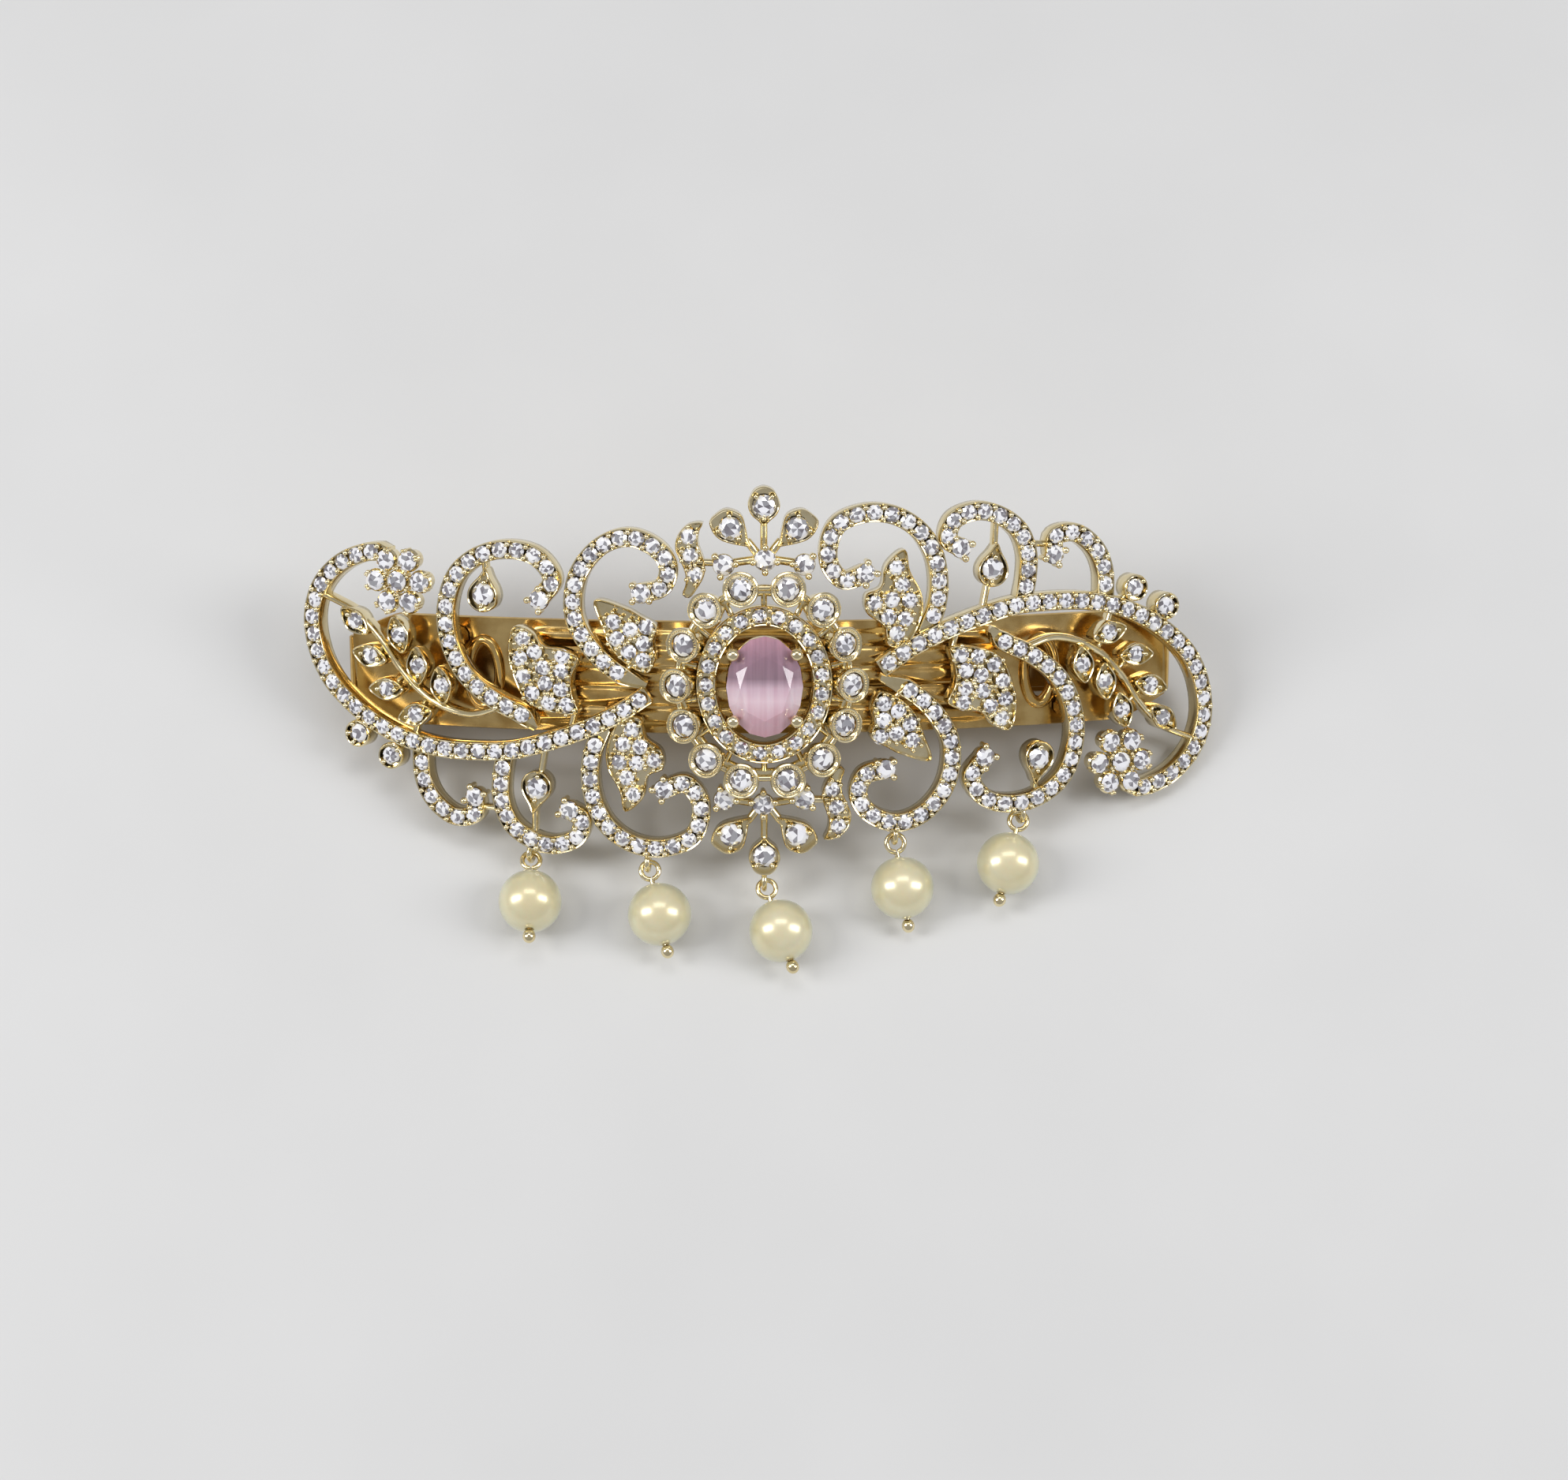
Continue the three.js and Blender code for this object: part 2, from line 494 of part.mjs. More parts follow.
function clipPlate() {
  const facets = 22;
  const outer = [];
  const inner = [];
  for (let i = 0; i <= facets; i += 1) {
    const angle = PLATE_HALF_ANGLE * (2 * i / facets - 1);
    const back = PLATE_RADIUS - PLATE_THICKNESS;
    const [sine, cosine] = [Math.sin(angle), Math.cos(angle)];
    outer.push(new THREE.Vector2(PLATE_RADIUS * sine, PLATE_RADIUS * cosine - BASE_RADIUS));
    inner.push(new THREE.Vector2(back * sine, back * cosine - BASE_RADIUS));
  }
  const side = new THREE.Shape([...inner, ...outer.reverse()]);
  let plate = acrossClip(side, -PLATE_HALF_WIDTH, PLATE_HALF_WIDTH).subtract(joined(plateCorners()));
  const endX = (PLATE_RADIUS - PLATE_THICKNESS / 2) * Math.sin(PLATE_HALF_ANGLE);
  const [slotX, slotY] = PLATE_SLOT_AXES;
  [-1, 1].forEach((end) => {
    const curl = new THREE.CylinderGeometry(CURL_RADIUS, CURL_RADIUS, 2 * CURL_HALF_LENGTH, 10);
    plate = plate.add(solidOf(curl.translate(end * endX, 0, plateMiddle(endX) - CURL_DROP)));
    const slot = new THREE.CylinderGeometry(slotX, slotX, 20, 12).scale(1, 1, slotY / slotX);
    plate = plate.subtract(solidOf(slot.rotateX(Math.PI / 2).translate(end * PLATE_SLOT_X, 0, 0)));
  });
  const lug = new THREE.Shape();
  lug.moveTo(CLIP_END_X - KNUCKLE_RADIUS, plateMiddle(CLIP_END_X - KNUCKLE_RADIUS));
  lug.lineTo(CLIP_END_X - KNUCKLE_RADIUS, PIN_Z);
  lug.absarc(CLIP_END_X, PIN_Z, KNUCKLE_RADIUS, Math.PI, 2 * Math.PI, false);
  lug.lineTo(CLIP_END_X + KNUCKLE_RADIUS, plateMiddle(CLIP_END_X + KNUCKLE_RADIUS));
  const bore = new THREE.CylinderGeometry(PIN_BORE_RADIUS, PIN_BORE_RADIUS, 20, 12);
  bore.translate(CLIP_END_X, 0, PIN_Z);
  plate = plate.add(acrossClip(lug, LUG_INNER_Y, LUG_INNER_Y + LUG_THICKNESS));
  plate = plate.add(acrossClip(lug, -LUG_INNER_Y - LUG_THICKNESS, -LUG_INNER_Y));
  return named('clip_plate', geometryOf(plate.subtract(solidOf(bore))), clipGold);
}

function hingePin() {
  const reach = LUG_INNER_Y + LUG_THICKNESS + 0.1;
  const shank = new THREE.CylinderGeometry(PIN_RADIUS, PIN_RADIUS, 2 * reach, 12);
  const pin = [solidOf(shank)];
  [-1, 1].forEach((side) => {
    const head = new THREE.CylinderGeometry(PIN_HEAD_RADIUS, PIN_HEAD_RADIUS, PIN_HEAD_THICKNESS, 12);
    pin.push(solidOf(head.translate(0, side * (reach + PIN_HEAD_THICKNESS / 2), 0)));
  });
  return named('hinge_pin', geometryOf(joined(pin)).translate(CLIP_END_X, 0, PIN_Z), clipGold);
}

function claspArm() {
  const shape = archShape(ARM_RADIUS, ARM_MID_Z, ARM_THICKNESS, CLIP_END_X - 0.4, 15);
  let arm = acrossClip(shape, -ARM_HALF_WIDTH, ARM_HALF_WIDTH);
  const halfKnuckle = LUG_INNER_Y - SIDE_PLAY;
  const trimWidth = 3;
  [-1, 1].forEach((side) => {
    const trim = new THREE.BoxGeometry(4, trimWidth, 6);
    trim.translate(CLIP_END_X, side * (halfKnuckle + trimWidth / 2), PIN_Z);
    arm = arm.subtract(solidOf(trim));
  });
  const knuckle = new THREE.CylinderGeometry(KNUCKLE_RADIUS, KNUCKLE_RADIUS, 2 * halfKnuckle, 14);
  const bore = new THREE.CylinderGeometry(PIN_BORE_RADIUS, PIN_BORE_RADIUS, 20, 12);
  arm = arm.add(solidOf(knuckle.translate(CLIP_END_X, 0, PIN_Z)));
  arm = arm.subtract(solidOf(bore.translate(CLIP_END_X, 0, PIN_Z)));
  const tip = new THREE.BoxGeometry(ARM_TIP_LENGTH, 2 * ARM_HALF_WIDTH, ARM_THICKNESS);
  arm = arm.add(solidOf(tip.translate(ARM_TIP_X, 0, ARM_TIP_Z)));
  const windowWidth = 2 * (CATCH_LEG_Y + CATCH_LEG_THICKNESS / 2 + 0.2);
  const window = new THREE.BoxGeometry(CATCH_WINDOW_LENGTH, windowWidth, 6);
  arm = arm.subtract(solidOf(window.translate(CATCH_WINDOW_X, 0, PIN_Z)));
  return named('clasp_arm', geometryOf(arm), clipGold);
}

function bowSpring() {
  const shape = archShape(SPRING_RADIUS, SPRING_MID_Z, SPRING_THICKNESS, SPRING_HALF_SPAN, 15);
  const strip = acrossClip(shape, -SPRING_HALF_WIDTH, SPRING_HALF_WIDTH);
  return named('bow_spring', geometryOf(strip), clipGold);
}

function catchParts() {
  const tilt = -Math.asin(CATCH_X / PLATE_RADIUS);
  const block = new THREE.BoxGeometry(...CATCH_BASE_SIZE);
  const base = new THREE.Mesh(block, new THREE.MeshStandardMaterial(clipGold));
  base.name = 'catch_base';
  const baseRadius = PLATE_RADIUS - PLATE_THICKNESS - 2 * GAP;
  base.position.set(-baseRadius * Math.sin(tilt), 0, baseRadius * Math.cos(tilt) - BASE_RADIUS);
  base.rotation.y = -tilt;
  const leg = (name, side) => {
    const top = CATCH_LEG_TOP_Z;
    const foot = CATCH_LEG_FOOT_Z;
    const thick = CATCH_LEG_THICKNESS;
    const strip = [[0, top], [0, foot], [thick, foot], [thick, top]];
    const [root, reach] = [0.3, thick + 0.12];
    const barb = [[root, foot + 0.65], [root, foot + 0.15], [reach, foot + 0.4], [reach, foot + 0.65]];
    const outlines = [strip, barb].map((points) => (
      new THREE.Shape(points.map(([y, z]) => new THREE.Vector2(y, z)))
    ));
    const whole = joined(outlines.map((outline) => (
      solidOf(slab(outline, -CATCH_LEG_HALF_LENGTH, CATCH_LEG_HALF_LENGTH))
    )));
    const geometry = geometryOf(whole).rotateX(Math.PI / 2).rotateZ(Math.PI / 2);
    if (side < 0) {
      geometry.rotateZ(Math.PI);
    }
    geometry.translate(CATCH_X, side * (CATCH_LEG_Y - CATCH_LEG_THICKNESS / 2), 0);
    return named(name, geometry, clipGold);
  };
  return [base, leg('catch_leg_front', -1), leg('catch_leg_back', 1)];
}

// Solder posts between the plate and the castings, and under the medallion.
function mountPosts() {
  const low = PLATE_RADIUS - BASE_RADIUS + GAP;
  return MOUNT_POSTS.map(([s, y, top], i) => {
    const height = top - GAP - low;
    const post = new THREE.CylinderGeometry(MOUNT_POST_RADIUS, MOUNT_POST_RADIUS + 0.2, height, 10);
    post.rotateX(Math.PI / 2).translate(s, y, low + height / 2);
    return named(`mount_post_${i + 1}`, bend(post), clipGold);
  });
}

// Drops

function headpinGeometry() {
  const eye = new THREE.TorusGeometry(HEADPIN_EYE_RADIUS, HEADPIN_WIRE, 6, 12);
  eye.translate(0, -HEADPIN_EYE_RADIUS, 0);
  const start = 2 * HEADPIN_EYE_RADIUS;
  const wire = new THREE.CylinderGeometry(HEADPIN_WIRE, HEADPIN_WIRE, BALL_ALONG_PIN - start, 8);
  wire.translate(0, -(BALL_ALONG_PIN + start) / 2, 0);
  const ball = new THREE.SphereGeometry(BALL_RADIUS, 10, 6).translate(0, -BALL_ALONG_PIN, 0);
  return geometryOf(joined([eye, wire, ball].map(solidOf)));
}

function pearlGeometry() {
  const steps = 10;
  const start = Math.asin(PEARL_BORE_RADIUS / PEARL_RADIUS);
  const points = [];
  for (let i = 0; i <= steps; i += 1) {
    const angle = start + (Math.PI - 2 * start) * i / steps;
    points.push(new THREE.Vector2(PEARL_RADIUS * Math.sin(angle), -PEARL_RADIUS * Math.cos(angle)));
  }
  points.push(points[0].clone());
  return new THREE.LatheGeometry(points, 14).translate(0, -PEARL_ALONG_PIN, 0);
}

// Each drop hangs from its eyelet's centre and lies with its pearl on the table.
function drops(rolled, tableZ) {
  const meshes = [];
  DROPS.forEach((drop, i) => {
    const eyelet = bentPoint(drop.s, drop.y, EYELET_HEIGHT).applyEuler(rolled.rotation);
    const rise = Math.asin((tableZ + PEARL_RADIUS + 0.02 - eyelet.z) / PEARL_ALONG_PIN);
    const place = new THREE.Group();
    place.position.copy(eyelet);
    place.rotation.set(-rise, 0, drop.lie * Math.PI / 180, 'ZXY');
    place.add(named(`headpin_${i + 1}`, headpinGeometry(), gold));
    place.add(named(`pearl_${i + 1}`, pearlGeometry(), cream));
    meshes.push(place);
  });
  return meshes;
}

// Assembly: the table touches the lower edge of the hinge lugs and the lower end of the right big loop.
const lugFoot = { y: -LUG_INNER_Y - LUG_THICKNESS, z: PIN_Z - KNUCKLE_RADIUS };
const loopFoot = bentPoint(...LOOP_FOOT, 0);
const roll = Math.atan2(loopFoot.z - lugFoot.z, lugFoot.y - loopFoot.y);

const ornament = new THREE.Group();
ornament.add(...castings(), ...medallion(), ...centreSetting());
ornament.add(clipPlate(), hingePin(), claspArm(), bowSpring(), ...catchParts(), ...mountPosts());
ornament.rotation.x = roll;

const assembly = new THREE.Group();
assembly.add(ornament);
assembly.updateMatrixWorld(true);
const tableZ = new THREE.Box3().setFromObject(ornament, true).min.z;
assembly.add(...drops(ornament, tableZ));
assembly.updateMatrixWorld(true);
const bounds = new THREE.Box3().setFromObject(assembly, true);
const middle = bounds.getCenter(new THREE.Vector3());
assembly.position.set(-middle.x, -middle.y, -bounds.min.z);

const barrette = new THREE.Group();
barrette.add(assembly);

export default barrette;
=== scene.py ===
"""Looks of the hair barrette: openwork castings with stones, a spring clip and five pearl drops.

Lengths are millimetres until a mesh is made, then metres. The ornament is drawn flat as (s, y, h):
s along its length, y towards the upper crest, h out of its face. It is then bent round a cylinder,
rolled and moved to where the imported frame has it.
"""
import json
import math

import bpy
import numpy as np
from mathutils import Matrix, Vector


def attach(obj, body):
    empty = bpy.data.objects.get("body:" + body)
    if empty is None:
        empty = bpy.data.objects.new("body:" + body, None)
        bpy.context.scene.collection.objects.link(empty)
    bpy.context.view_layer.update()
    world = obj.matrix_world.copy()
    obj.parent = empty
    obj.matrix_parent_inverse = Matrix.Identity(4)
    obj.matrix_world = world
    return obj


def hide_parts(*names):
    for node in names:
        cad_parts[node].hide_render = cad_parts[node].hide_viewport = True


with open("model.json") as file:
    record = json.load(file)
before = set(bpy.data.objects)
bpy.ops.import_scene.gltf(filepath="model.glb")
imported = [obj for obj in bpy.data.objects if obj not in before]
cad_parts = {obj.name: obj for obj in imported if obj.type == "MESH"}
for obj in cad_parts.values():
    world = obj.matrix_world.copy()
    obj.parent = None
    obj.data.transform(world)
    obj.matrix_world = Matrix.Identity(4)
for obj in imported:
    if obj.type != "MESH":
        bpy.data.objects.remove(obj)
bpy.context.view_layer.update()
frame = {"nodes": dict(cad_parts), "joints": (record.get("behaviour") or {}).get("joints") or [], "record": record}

# -------- driving dimensions

BASE_RADIUS = 98.0       # back face of the castings
FACE_HEIGHT = 1.8        # casting thickness
FACE_RADIUS = BASE_RADIUS + FACE_HEIGHT
PLATE_RADIUS = 96.6      # outer face of the clip plate
ARM_BACK_HEIGHT = -9.613  # flat back of the clasp arm, where the record's mount is

BAND_HALF_WIDTH = 0.9
STONE_RADIUS = 0.745
STONE_PITCH = 1.66
BEAD_RADIUS = 0.27

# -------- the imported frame's placing

mount = frame["record"]["mounts"][0]
roll = math.atan2(mount["axis"][1], -mount["axis"][2])
ROLL = np.array(Matrix.Rotation(roll, 3, "X"))
ORIGIN = np.array(mount["pos_m"]) * 1000 - ROLL @ np.array([0, 0, ARM_BACK_HEIGHT])
JOINTS = {joint["name"]: joint for joint in frame["joints"]}


def to_world(points):
    """Local ornament millimetres to world millimetres."""
    return np.asarray(points, float) @ ROLL.T + ORIGIN


def bent(points):
    """Flat (s, y, h) to local ornament millimetres."""
    p = np.asarray(points, float)
    angle = p[:, 0] / FACE_RADIUS
    radius = BASE_RADIUS + p[:, 2]
    return np.column_stack([radius * np.sin(angle), p[:, 1], radius * np.cos(angle) - BASE_RADIUS])


# -------- mesh building

class Shell:
    """Collects points and faces, each face with the number of its material."""

    def __init__(self):
        self.points = []
        self.faces = []
        self.kinds = []
        self.count = 0

    def add(self, points, faces, kinds=0):
        points = np.asarray(points, float)
        self.points.append(points)
        self.faces += [[i + self.count for i in face] for face in faces]
        self.kinds += list(kinds) if isinstance(kinds, (list, tuple)) else [kinds] * len(faces)
        self.count += len(points)
        return self

    def add_shell(self, other, move=None):
        points = np.vstack(other.points)
        return self.add(points if move is None else move(points), other.faces, other.kinds)


def make(name, shell, materials, place=bent, sharp=40):
    """Turns a shell into a mesh object. sharp is the edge angle in degrees above which it stays crisp."""
    points = np.vstack(shell.points)
    if place is bent:
        points = bent(points)
    if place in (bent, "local"):
        points = to_world(points)
    mesh = bpy.data.meshes.new(name)
    mesh.from_pydata((points / 1000).tolist(), [], shell.faces)
    for material in materials:
        mesh.materials.append(material)
    mesh.polygons.foreach_set("material_index", shell.kinds)
    mesh.update()
    if sharp:
        mesh.polygons.foreach_set("use_smooth", [True] * len(mesh.polygons))
        mesh.set_sharp_from_angle(angle=math.radians(sharp))
    piece = bpy.data.objects.new(name, mesh)
    bpy.context.scene.collection.objects.link(piece)
    return piece


def hand_over(piece, body, slot, *nodes):
    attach(piece, body)
    if nodes:
        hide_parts(*nodes)
    return piece


# -------- curves

def smooth(points, closed=False, step=0.3):
    """Even steps along a centripetal Catmull-Rom curve through the points."""
    p = np.array(points, float)
    if closed:
        p = np.vstack([p[-1], p, p[:2]])
    else:
        p = np.vstack([2 * p[0] - p[1], p, 2 * p[-1] - p[-2]])
    dense = []
    for a, b, c, d in zip(p, p[1:], p[2:], p[3:]):
        knots = np.cumsum([0] + [math.sqrt(np.linalg.norm(v)) for v in (b - a, c - b, d - c)])
        t = np.linspace(knots[1], knots[2], 24, endpoint=False)[:, None]
        level = [a, b, c, d]
        spans = [[(0, 1), (1, 2), (2, 3)], [(0, 2), (1, 3)], [(1, 2)]]
        for pairs in spans:
            level = [
                ((knots[j] - t) * level[k] + (t - knots[i]) * level[k + 1]) / (knots[j] - knots[i])
                for k, (i, j) in enumerate(pairs)
            ]
        dense.append(level[0])
    dense = np.vstack(dense + ([] if closed else [p[-2:-1]]))
    if closed:
        dense = np.vstack([dense, dense[:1]])
    run = np.concatenate([[0], np.cumsum(np.linalg.norm(np.diff(dense, axis=0), axis=1))])
    count = max(4, round(run[-1] / step))
    where = np.linspace(0, run[-1], count + 1)
    even = np.column_stack([np.interp(where, run, dense[:, k]) for k in range(p.shape[1])])
    return even[:-1] if closed else even


def normals(line, closed=False):
    """Unit normals on the left of a flat line."""
    if closed:
        along = np.roll(line, -1, axis=0) - np.roll(line, 1, axis=0)
    else:
        along = np.gradient(line, axis=0)
    along /= np.linalg.norm(along, axis=1)[:, None]
    return np.column_stack([-along[:, 1], along[:, 0]])


def length_of(line):
    return float(np.sum(np.linalg.norm(np.diff(line, axis=0), axis=1)))


def around(x, y, reach, degrees):
    """The point at a distance from (x, y) in a direction."""
    a = math.radians(degrees)
    return x + reach * math.cos(a), y + reach * math.sin(a)


def circle(x, y, radius, count, squeeze):
    angle = np.linspace(0, 2 * math.pi, count, endpoint=False)
    return np.column_stack([x + radius * np.cos(angle), y + radius * squeeze * np.sin(angle)])


# -------- solids in the flat frame

def quads(rows, count, closed=False, flip=False):
    """Faces between rows of points, where each row is a ring."""
    faces = []
    for i in range(rows if closed else rows - 1):
        k = (i + 1) % rows
        for j in range(count):
            l = (j + 1) % count
            a, b, c, d = i * count + j, i * count + l, k * count + l, k * count + j
            faces.append([a, d, c, b] if flip else [a, b, c, d])
    return faces


def capped(rows, count, flip=False):
    """The faces of quads, and one across each end."""
    first = list(range(count))
    last = [(rows - 1) * count + j for j in first]
    return quads(rows, count, flip=flip) + ([first, last[::-1]] if flip else [first[::-1], last])


def sweep(line, section, widths=None, closed=False):
    """Sweeps a closed section of (across, height) points along a flat line."""
    side = normals(line, closed)
    section = np.asarray(section, float)
    n, m = len(line), len(section)
    widths = np.ones(n) if widths is None else widths
    points = np.zeros((n, m, 3))
    across = section[None, :, 0] * widths[:, None]
    points[:, :, :2] = line[:, None] + side[:, None] * across[:, :, None]
    points[:, :, 2] = section[None, :, 1]
    faces = quads(n, m, closed=True, flip=True) if closed else capped(n, m, flip=True)
    return points.reshape(-1, 3), faces


def band_section(half, low=0.0, high=1.7, rim=0.17, floor=1.0):
    """A channel: rounded rims at both edges and a floor in which the stones sit."""
    right = [
        (half - 0.12, low), (half - 0.02, low + 0.12), (half, low + 0.9), (half - 0.02, high - 0.08),
        (half - 0.07, high), (half - rim, high - 0.05), (half - rim - 0.05, floor),
    ]
    return right + [(-u, h) for u, h in reversed(right)]


def bar_section(half, low, high):
    """A half-round bar."""
    angles = np.linspace(0, math.pi, 7)
    top = [(half * math.cos(a), low + (high - low) * (0.55 + 0.45 * math.sin(a))) for a in angles]
    return [(half * 0.8, low)] + top + [(-half * 0.8, low)]


def pad(shell, outline, rim=0.22, high=1.75, floor=1.0):
    """A plate with a raised rounded rim round a sunken floor."""
    line = np.asarray(outline, float)
    area = np.sum(line[:, 0] * np.roll(line[:, 1], -1) - line[:, 1] * np.roll(line[:, 0], -1))
    if area < 0:
        line = line[::-1]
    inward = normals(line, closed=True)
    levels = [
        (0.1, 0.0), (0.0, 0.12), (0.0, high - 0.2), (0.05, high - 0.06), (rim / 2, high),
        (rim - 0.03, high - 0.08), (rim, floor),
    ]
    n = len(line)
    rings = [np.column_stack([line + inward * inset, np.full(n, h)]) for inset, h in levels]
    shell.add(np.vstack(rings), capped(len(levels), n))


def lathe(profile, count, closed=False):
    """Turns an (r, z) profile round the z axis. An open profile starts and ends on the axis."""
    profile = np.asarray(profile, float)
    angle = np.linspace(0, 2 * math.pi, count, endpoint=False)
    inner = profile if closed else profile[1:-1]
    m = len(inner)
    points = [[r * math.cos(a), r * math.sin(a), z] for r, z in inner for a in angle]
    faces = quads(m, count, closed)
    if not closed:
        first, last = len(points), len(points) + 1
        points += [[0, 0, profile[0][1]], [0, 0, profile[-1][1]]]
        faces += [[first, (j + 1) % count, j] for j in range(count)]
        faces += [[last, (m - 1) * count + j, (m - 1) * count + (j + 1) % count] for j in range(count)]
    return np.array(points), faces


def turned(points, tilt=0.0, turn=0.0):
    """Tilts points about y, then turns them about z."""
    matrix = Matrix.Rotation(turn, 3, "Z") @ Matrix.Rotation(tilt, 3, "Y")
    return points @ np.array(matrix).T


def ball(radius, rings, count):
    angles = [math.pi * i / rings for i in range(rings + 1)]
    return lathe([(radius * math.sin(a), -radius * math.cos(a)) for a in angles], count)


BEAD = ball(1.0, 5, 8)
BEAD_STRETCH = 1.15


def bead(shell, x, y, h, radius=BEAD_RADIUS):
    points, faces = BEAD
    shell.add(points * [radius, radius, radius * BEAD_STRETCH] + [x, y, h], faces)


def post_bead(shell, x, y, low, high, radius):
    """A round prong: a short post with a ball on top."""
    middle = high - radius
    profile = [(0, low), (radius * 0.8, low), (radius * 0.8, middle)]
    profile += [(radius * math.cos(a), middle + radius * math.sin(a)) for a in np.linspace(-0.5, 1.2, 5)]
    profile.append((0, high))
    points, faces = lathe(profile, 10)
    shell.add(points + [x, y, 0], faces)


def tube(line, radius, count, closed=False):
    """A round wire along a line of 3-D points."""
    line = np.asarray(line, float)
    n = len(line)
    along = np.roll(line, -1, 0) - np.roll(line, 1, 0) if closed else np.gradient(line, axis=0)
    along /= np.linalg.norm(along, axis=1)[:, None]
    start = np.cross(along[0], [0.3, 0.5, 0.81])
    frames = [start / np.linalg.norm(start)]
    for t in along[1:]:
        v = frames[-1] - t * np.dot(frames[-1], t)
        frames.append(v / np.linalg.norm(v))
    angles = np.arange(count) * 2 * math.pi / count
    points = []
    for p, t, u in zip(line, along, frames):
        w = np.cross(t, u)
        points += [p + radius * (u * math.cos(a) + w * math.sin(a)) for a in angles]
    return np.array(points), quads(n, count, closed=True) if closed else capped(n, count)


# -------- stones

def brilliant(fold=8):
    """A round brilliant of girdle radius 1: facets as (points, faces, kinds), kind 0 crown and 1 pavilion.

    The table is cut into wedges, which show the facets seen through it.
    """
    def ring(count, radius, z, shift=0.0):
        angles = (np.arange(count) + shift) * 2 * math.pi / count
        return [[radius * math.cos(a), radius * math.sin(a), z] for a in angles]

    points = ring(fold, 0.56, 0.34) + ring(fold, 0.80, 0.20, 0.5) + ring(2 * fold, 1.0, 0.03)
    points += ring(2 * fold, 1.0, -0.03) + ring(fold, 0.45, -0.36, 0.5) + [[0, 0, -0.62]]
    table, kite, top, low, keel = 0, fold, 2 * fold, 4 * fold, 6 * fold
    tip, centre = 7 * fold, 7 * fold + 1
    points.append([0, 0, 0.34])
    faces, kinds = [], []
    for i in range(fold):
        k = (i + 1) % fold
        faces.append([centre, table + i, table + k])
        kinds.append(0)
        a, b = top + 2 * i, top + (2 * i + 1) % (2 * fold)
        c = top + (2 * i + 2) % (2 * fold)
        faces += [[table + i, kite + i, table + k], [kite + i, b, c], [kite + i, a, b]]
        faces += [[table + i, kite + (i - 1) % fold, a, kite + i]]
        kinds += [0] * 4
    for j in range(2 * fold):
        l = (j + 1) % (2 * fold)
        faces.append([top + j, low + j, low + l, top + l])
        kinds.append(0)
    for i in range(fold):
        a, b, c = low + 2 * i, low + 2 * i + 1, low + (2 * i + 2) % (2 * fold)
        k = (i + 1) % fold
        faces += [[a, keel + i, b], [b, keel + i, c], [keel + i, tip, keel + k, c]]
        kinds += [1] * 3
    return np.array(points), faces, kinds


BRILLIANT = brilliant()
FACET_SHARES = (0.5, 0.28, 0.22)      # painted light (white), mirror and painted shade (dark) facets of a stone


class Paving:
    """Gathers stones, each turned by its own amount, into one shell."""

    def __init__(self, seed):
        self.shell = Shell()
        self.random = np.random.default_rng(seed)

    def looks(self, kinds):
        """One look per facet: the pavilion is all mirror, the crown is mixed from white painted light, mirror and
        dark painted shade.
        """
        mixed = self.random.choice(3, len(kinds), p=FACET_SHARES)
        return [1 if kind else int(look) for kind, look in zip(kinds, mixed)]

    def stone(self, x, y, h, radius, squeeze=1.0):
        points, faces, kinds = BRILLIANT
        tilt = self.random.normal(0, 0.035)
        turn = self.random.uniform(0, math.pi)
        body = turned(points * [radius, radius, radius], tilt, turn) * [1, squeeze, 1]
        self.shell.add(body + [x, y, h], faces, self.looks(kinds))


# -------- pave rows

def pave_row(metal, paving, line, height, start=0.0, end=0.0, pitch=STONE_PITCH, radius=STONE_RADIUS,
             closed=False):
    """Stones evenly along a line, with a bead at each edge of every gap."""
    loop = np.vstack([line, line[:1]]) if closed else line
    run = np.concatenate([[0], np.cumsum(np.linalg.norm(np.diff(loop, axis=0), axis=1))])
    side = normals(line, closed)
    side = np.vstack([side, side[:1]]) if closed else side

    def at(d):
        p = np.array([np.interp(d, run, loop[:, k]) for k in range(2)])
        n = np.array([np.interp(d, run, side[:, k]) for k in range(2)])
        return p, n / np.linalg.norm(n)

    total = run[-1] - start - end
    count = max(1, round(total / pitch))
    gap = total / count
    for i in range(count):
        p, _ = at(start + gap * (i + 0.5))
        paving.stone(p[0], p[1], height, radius)
    for i in range(0, count) if closed else range(1, count + 1):
        p, n = at(start + gap * i)
        for edge in (-1, 1):
            q = p + n * edge * (BAND_HALF_WIDTH - 0.36)
            bead(metal, q[0], q[1], height + 0.2)


def scroll(metal, paving, points, start, end, end_stone=None, claws=(), point=0.0):
    """A pave band that may start in a point, of the given length, and end in a round claw setting."""
    line = smooth(points)
    run = np.concatenate([[0], np.cumsum(np.linalg.norm(np.diff(line, axis=0), axis=1))])
    taper = np.interp(run, [0, point], [0.4, 1.0]) if point else np.ones(len(line))
    if end_stone is None:
        taper = np.interp(run[-1] - run, [0, 0.9], [0.5, 1.0])
    metal.add(*sweep(line, band_section(BAND_HALF_WIDTH), taper))
    pave_row(metal, paving, line, 1.55, start, end)
    if end_stone is not None:
        claw_setting(metal, paving, end_stone[0], end_stone[1], 0.92, claws)


def claw_setting(metal, paving, x, y, radius, claws):
    """A round stone in an open cup, with ball claws at the given directions."""
    wall = [(0.6, 0.05), (0.86, 0.0), (1.08, 1.35), (1.02, 1.5), (0.8, 1.25)]
    points, faces = lathe([(radius * r, h) for r, h in wall], 20, closed=True)
    metal.add(points + [x, y, 0], faces)
    paving.stone(x, y, 1.62, radius)
    for degrees in claws:
        post_bead(metal, *around(x, y, radius + 0.16, degrees), 0.5, 2.1, 0.33)


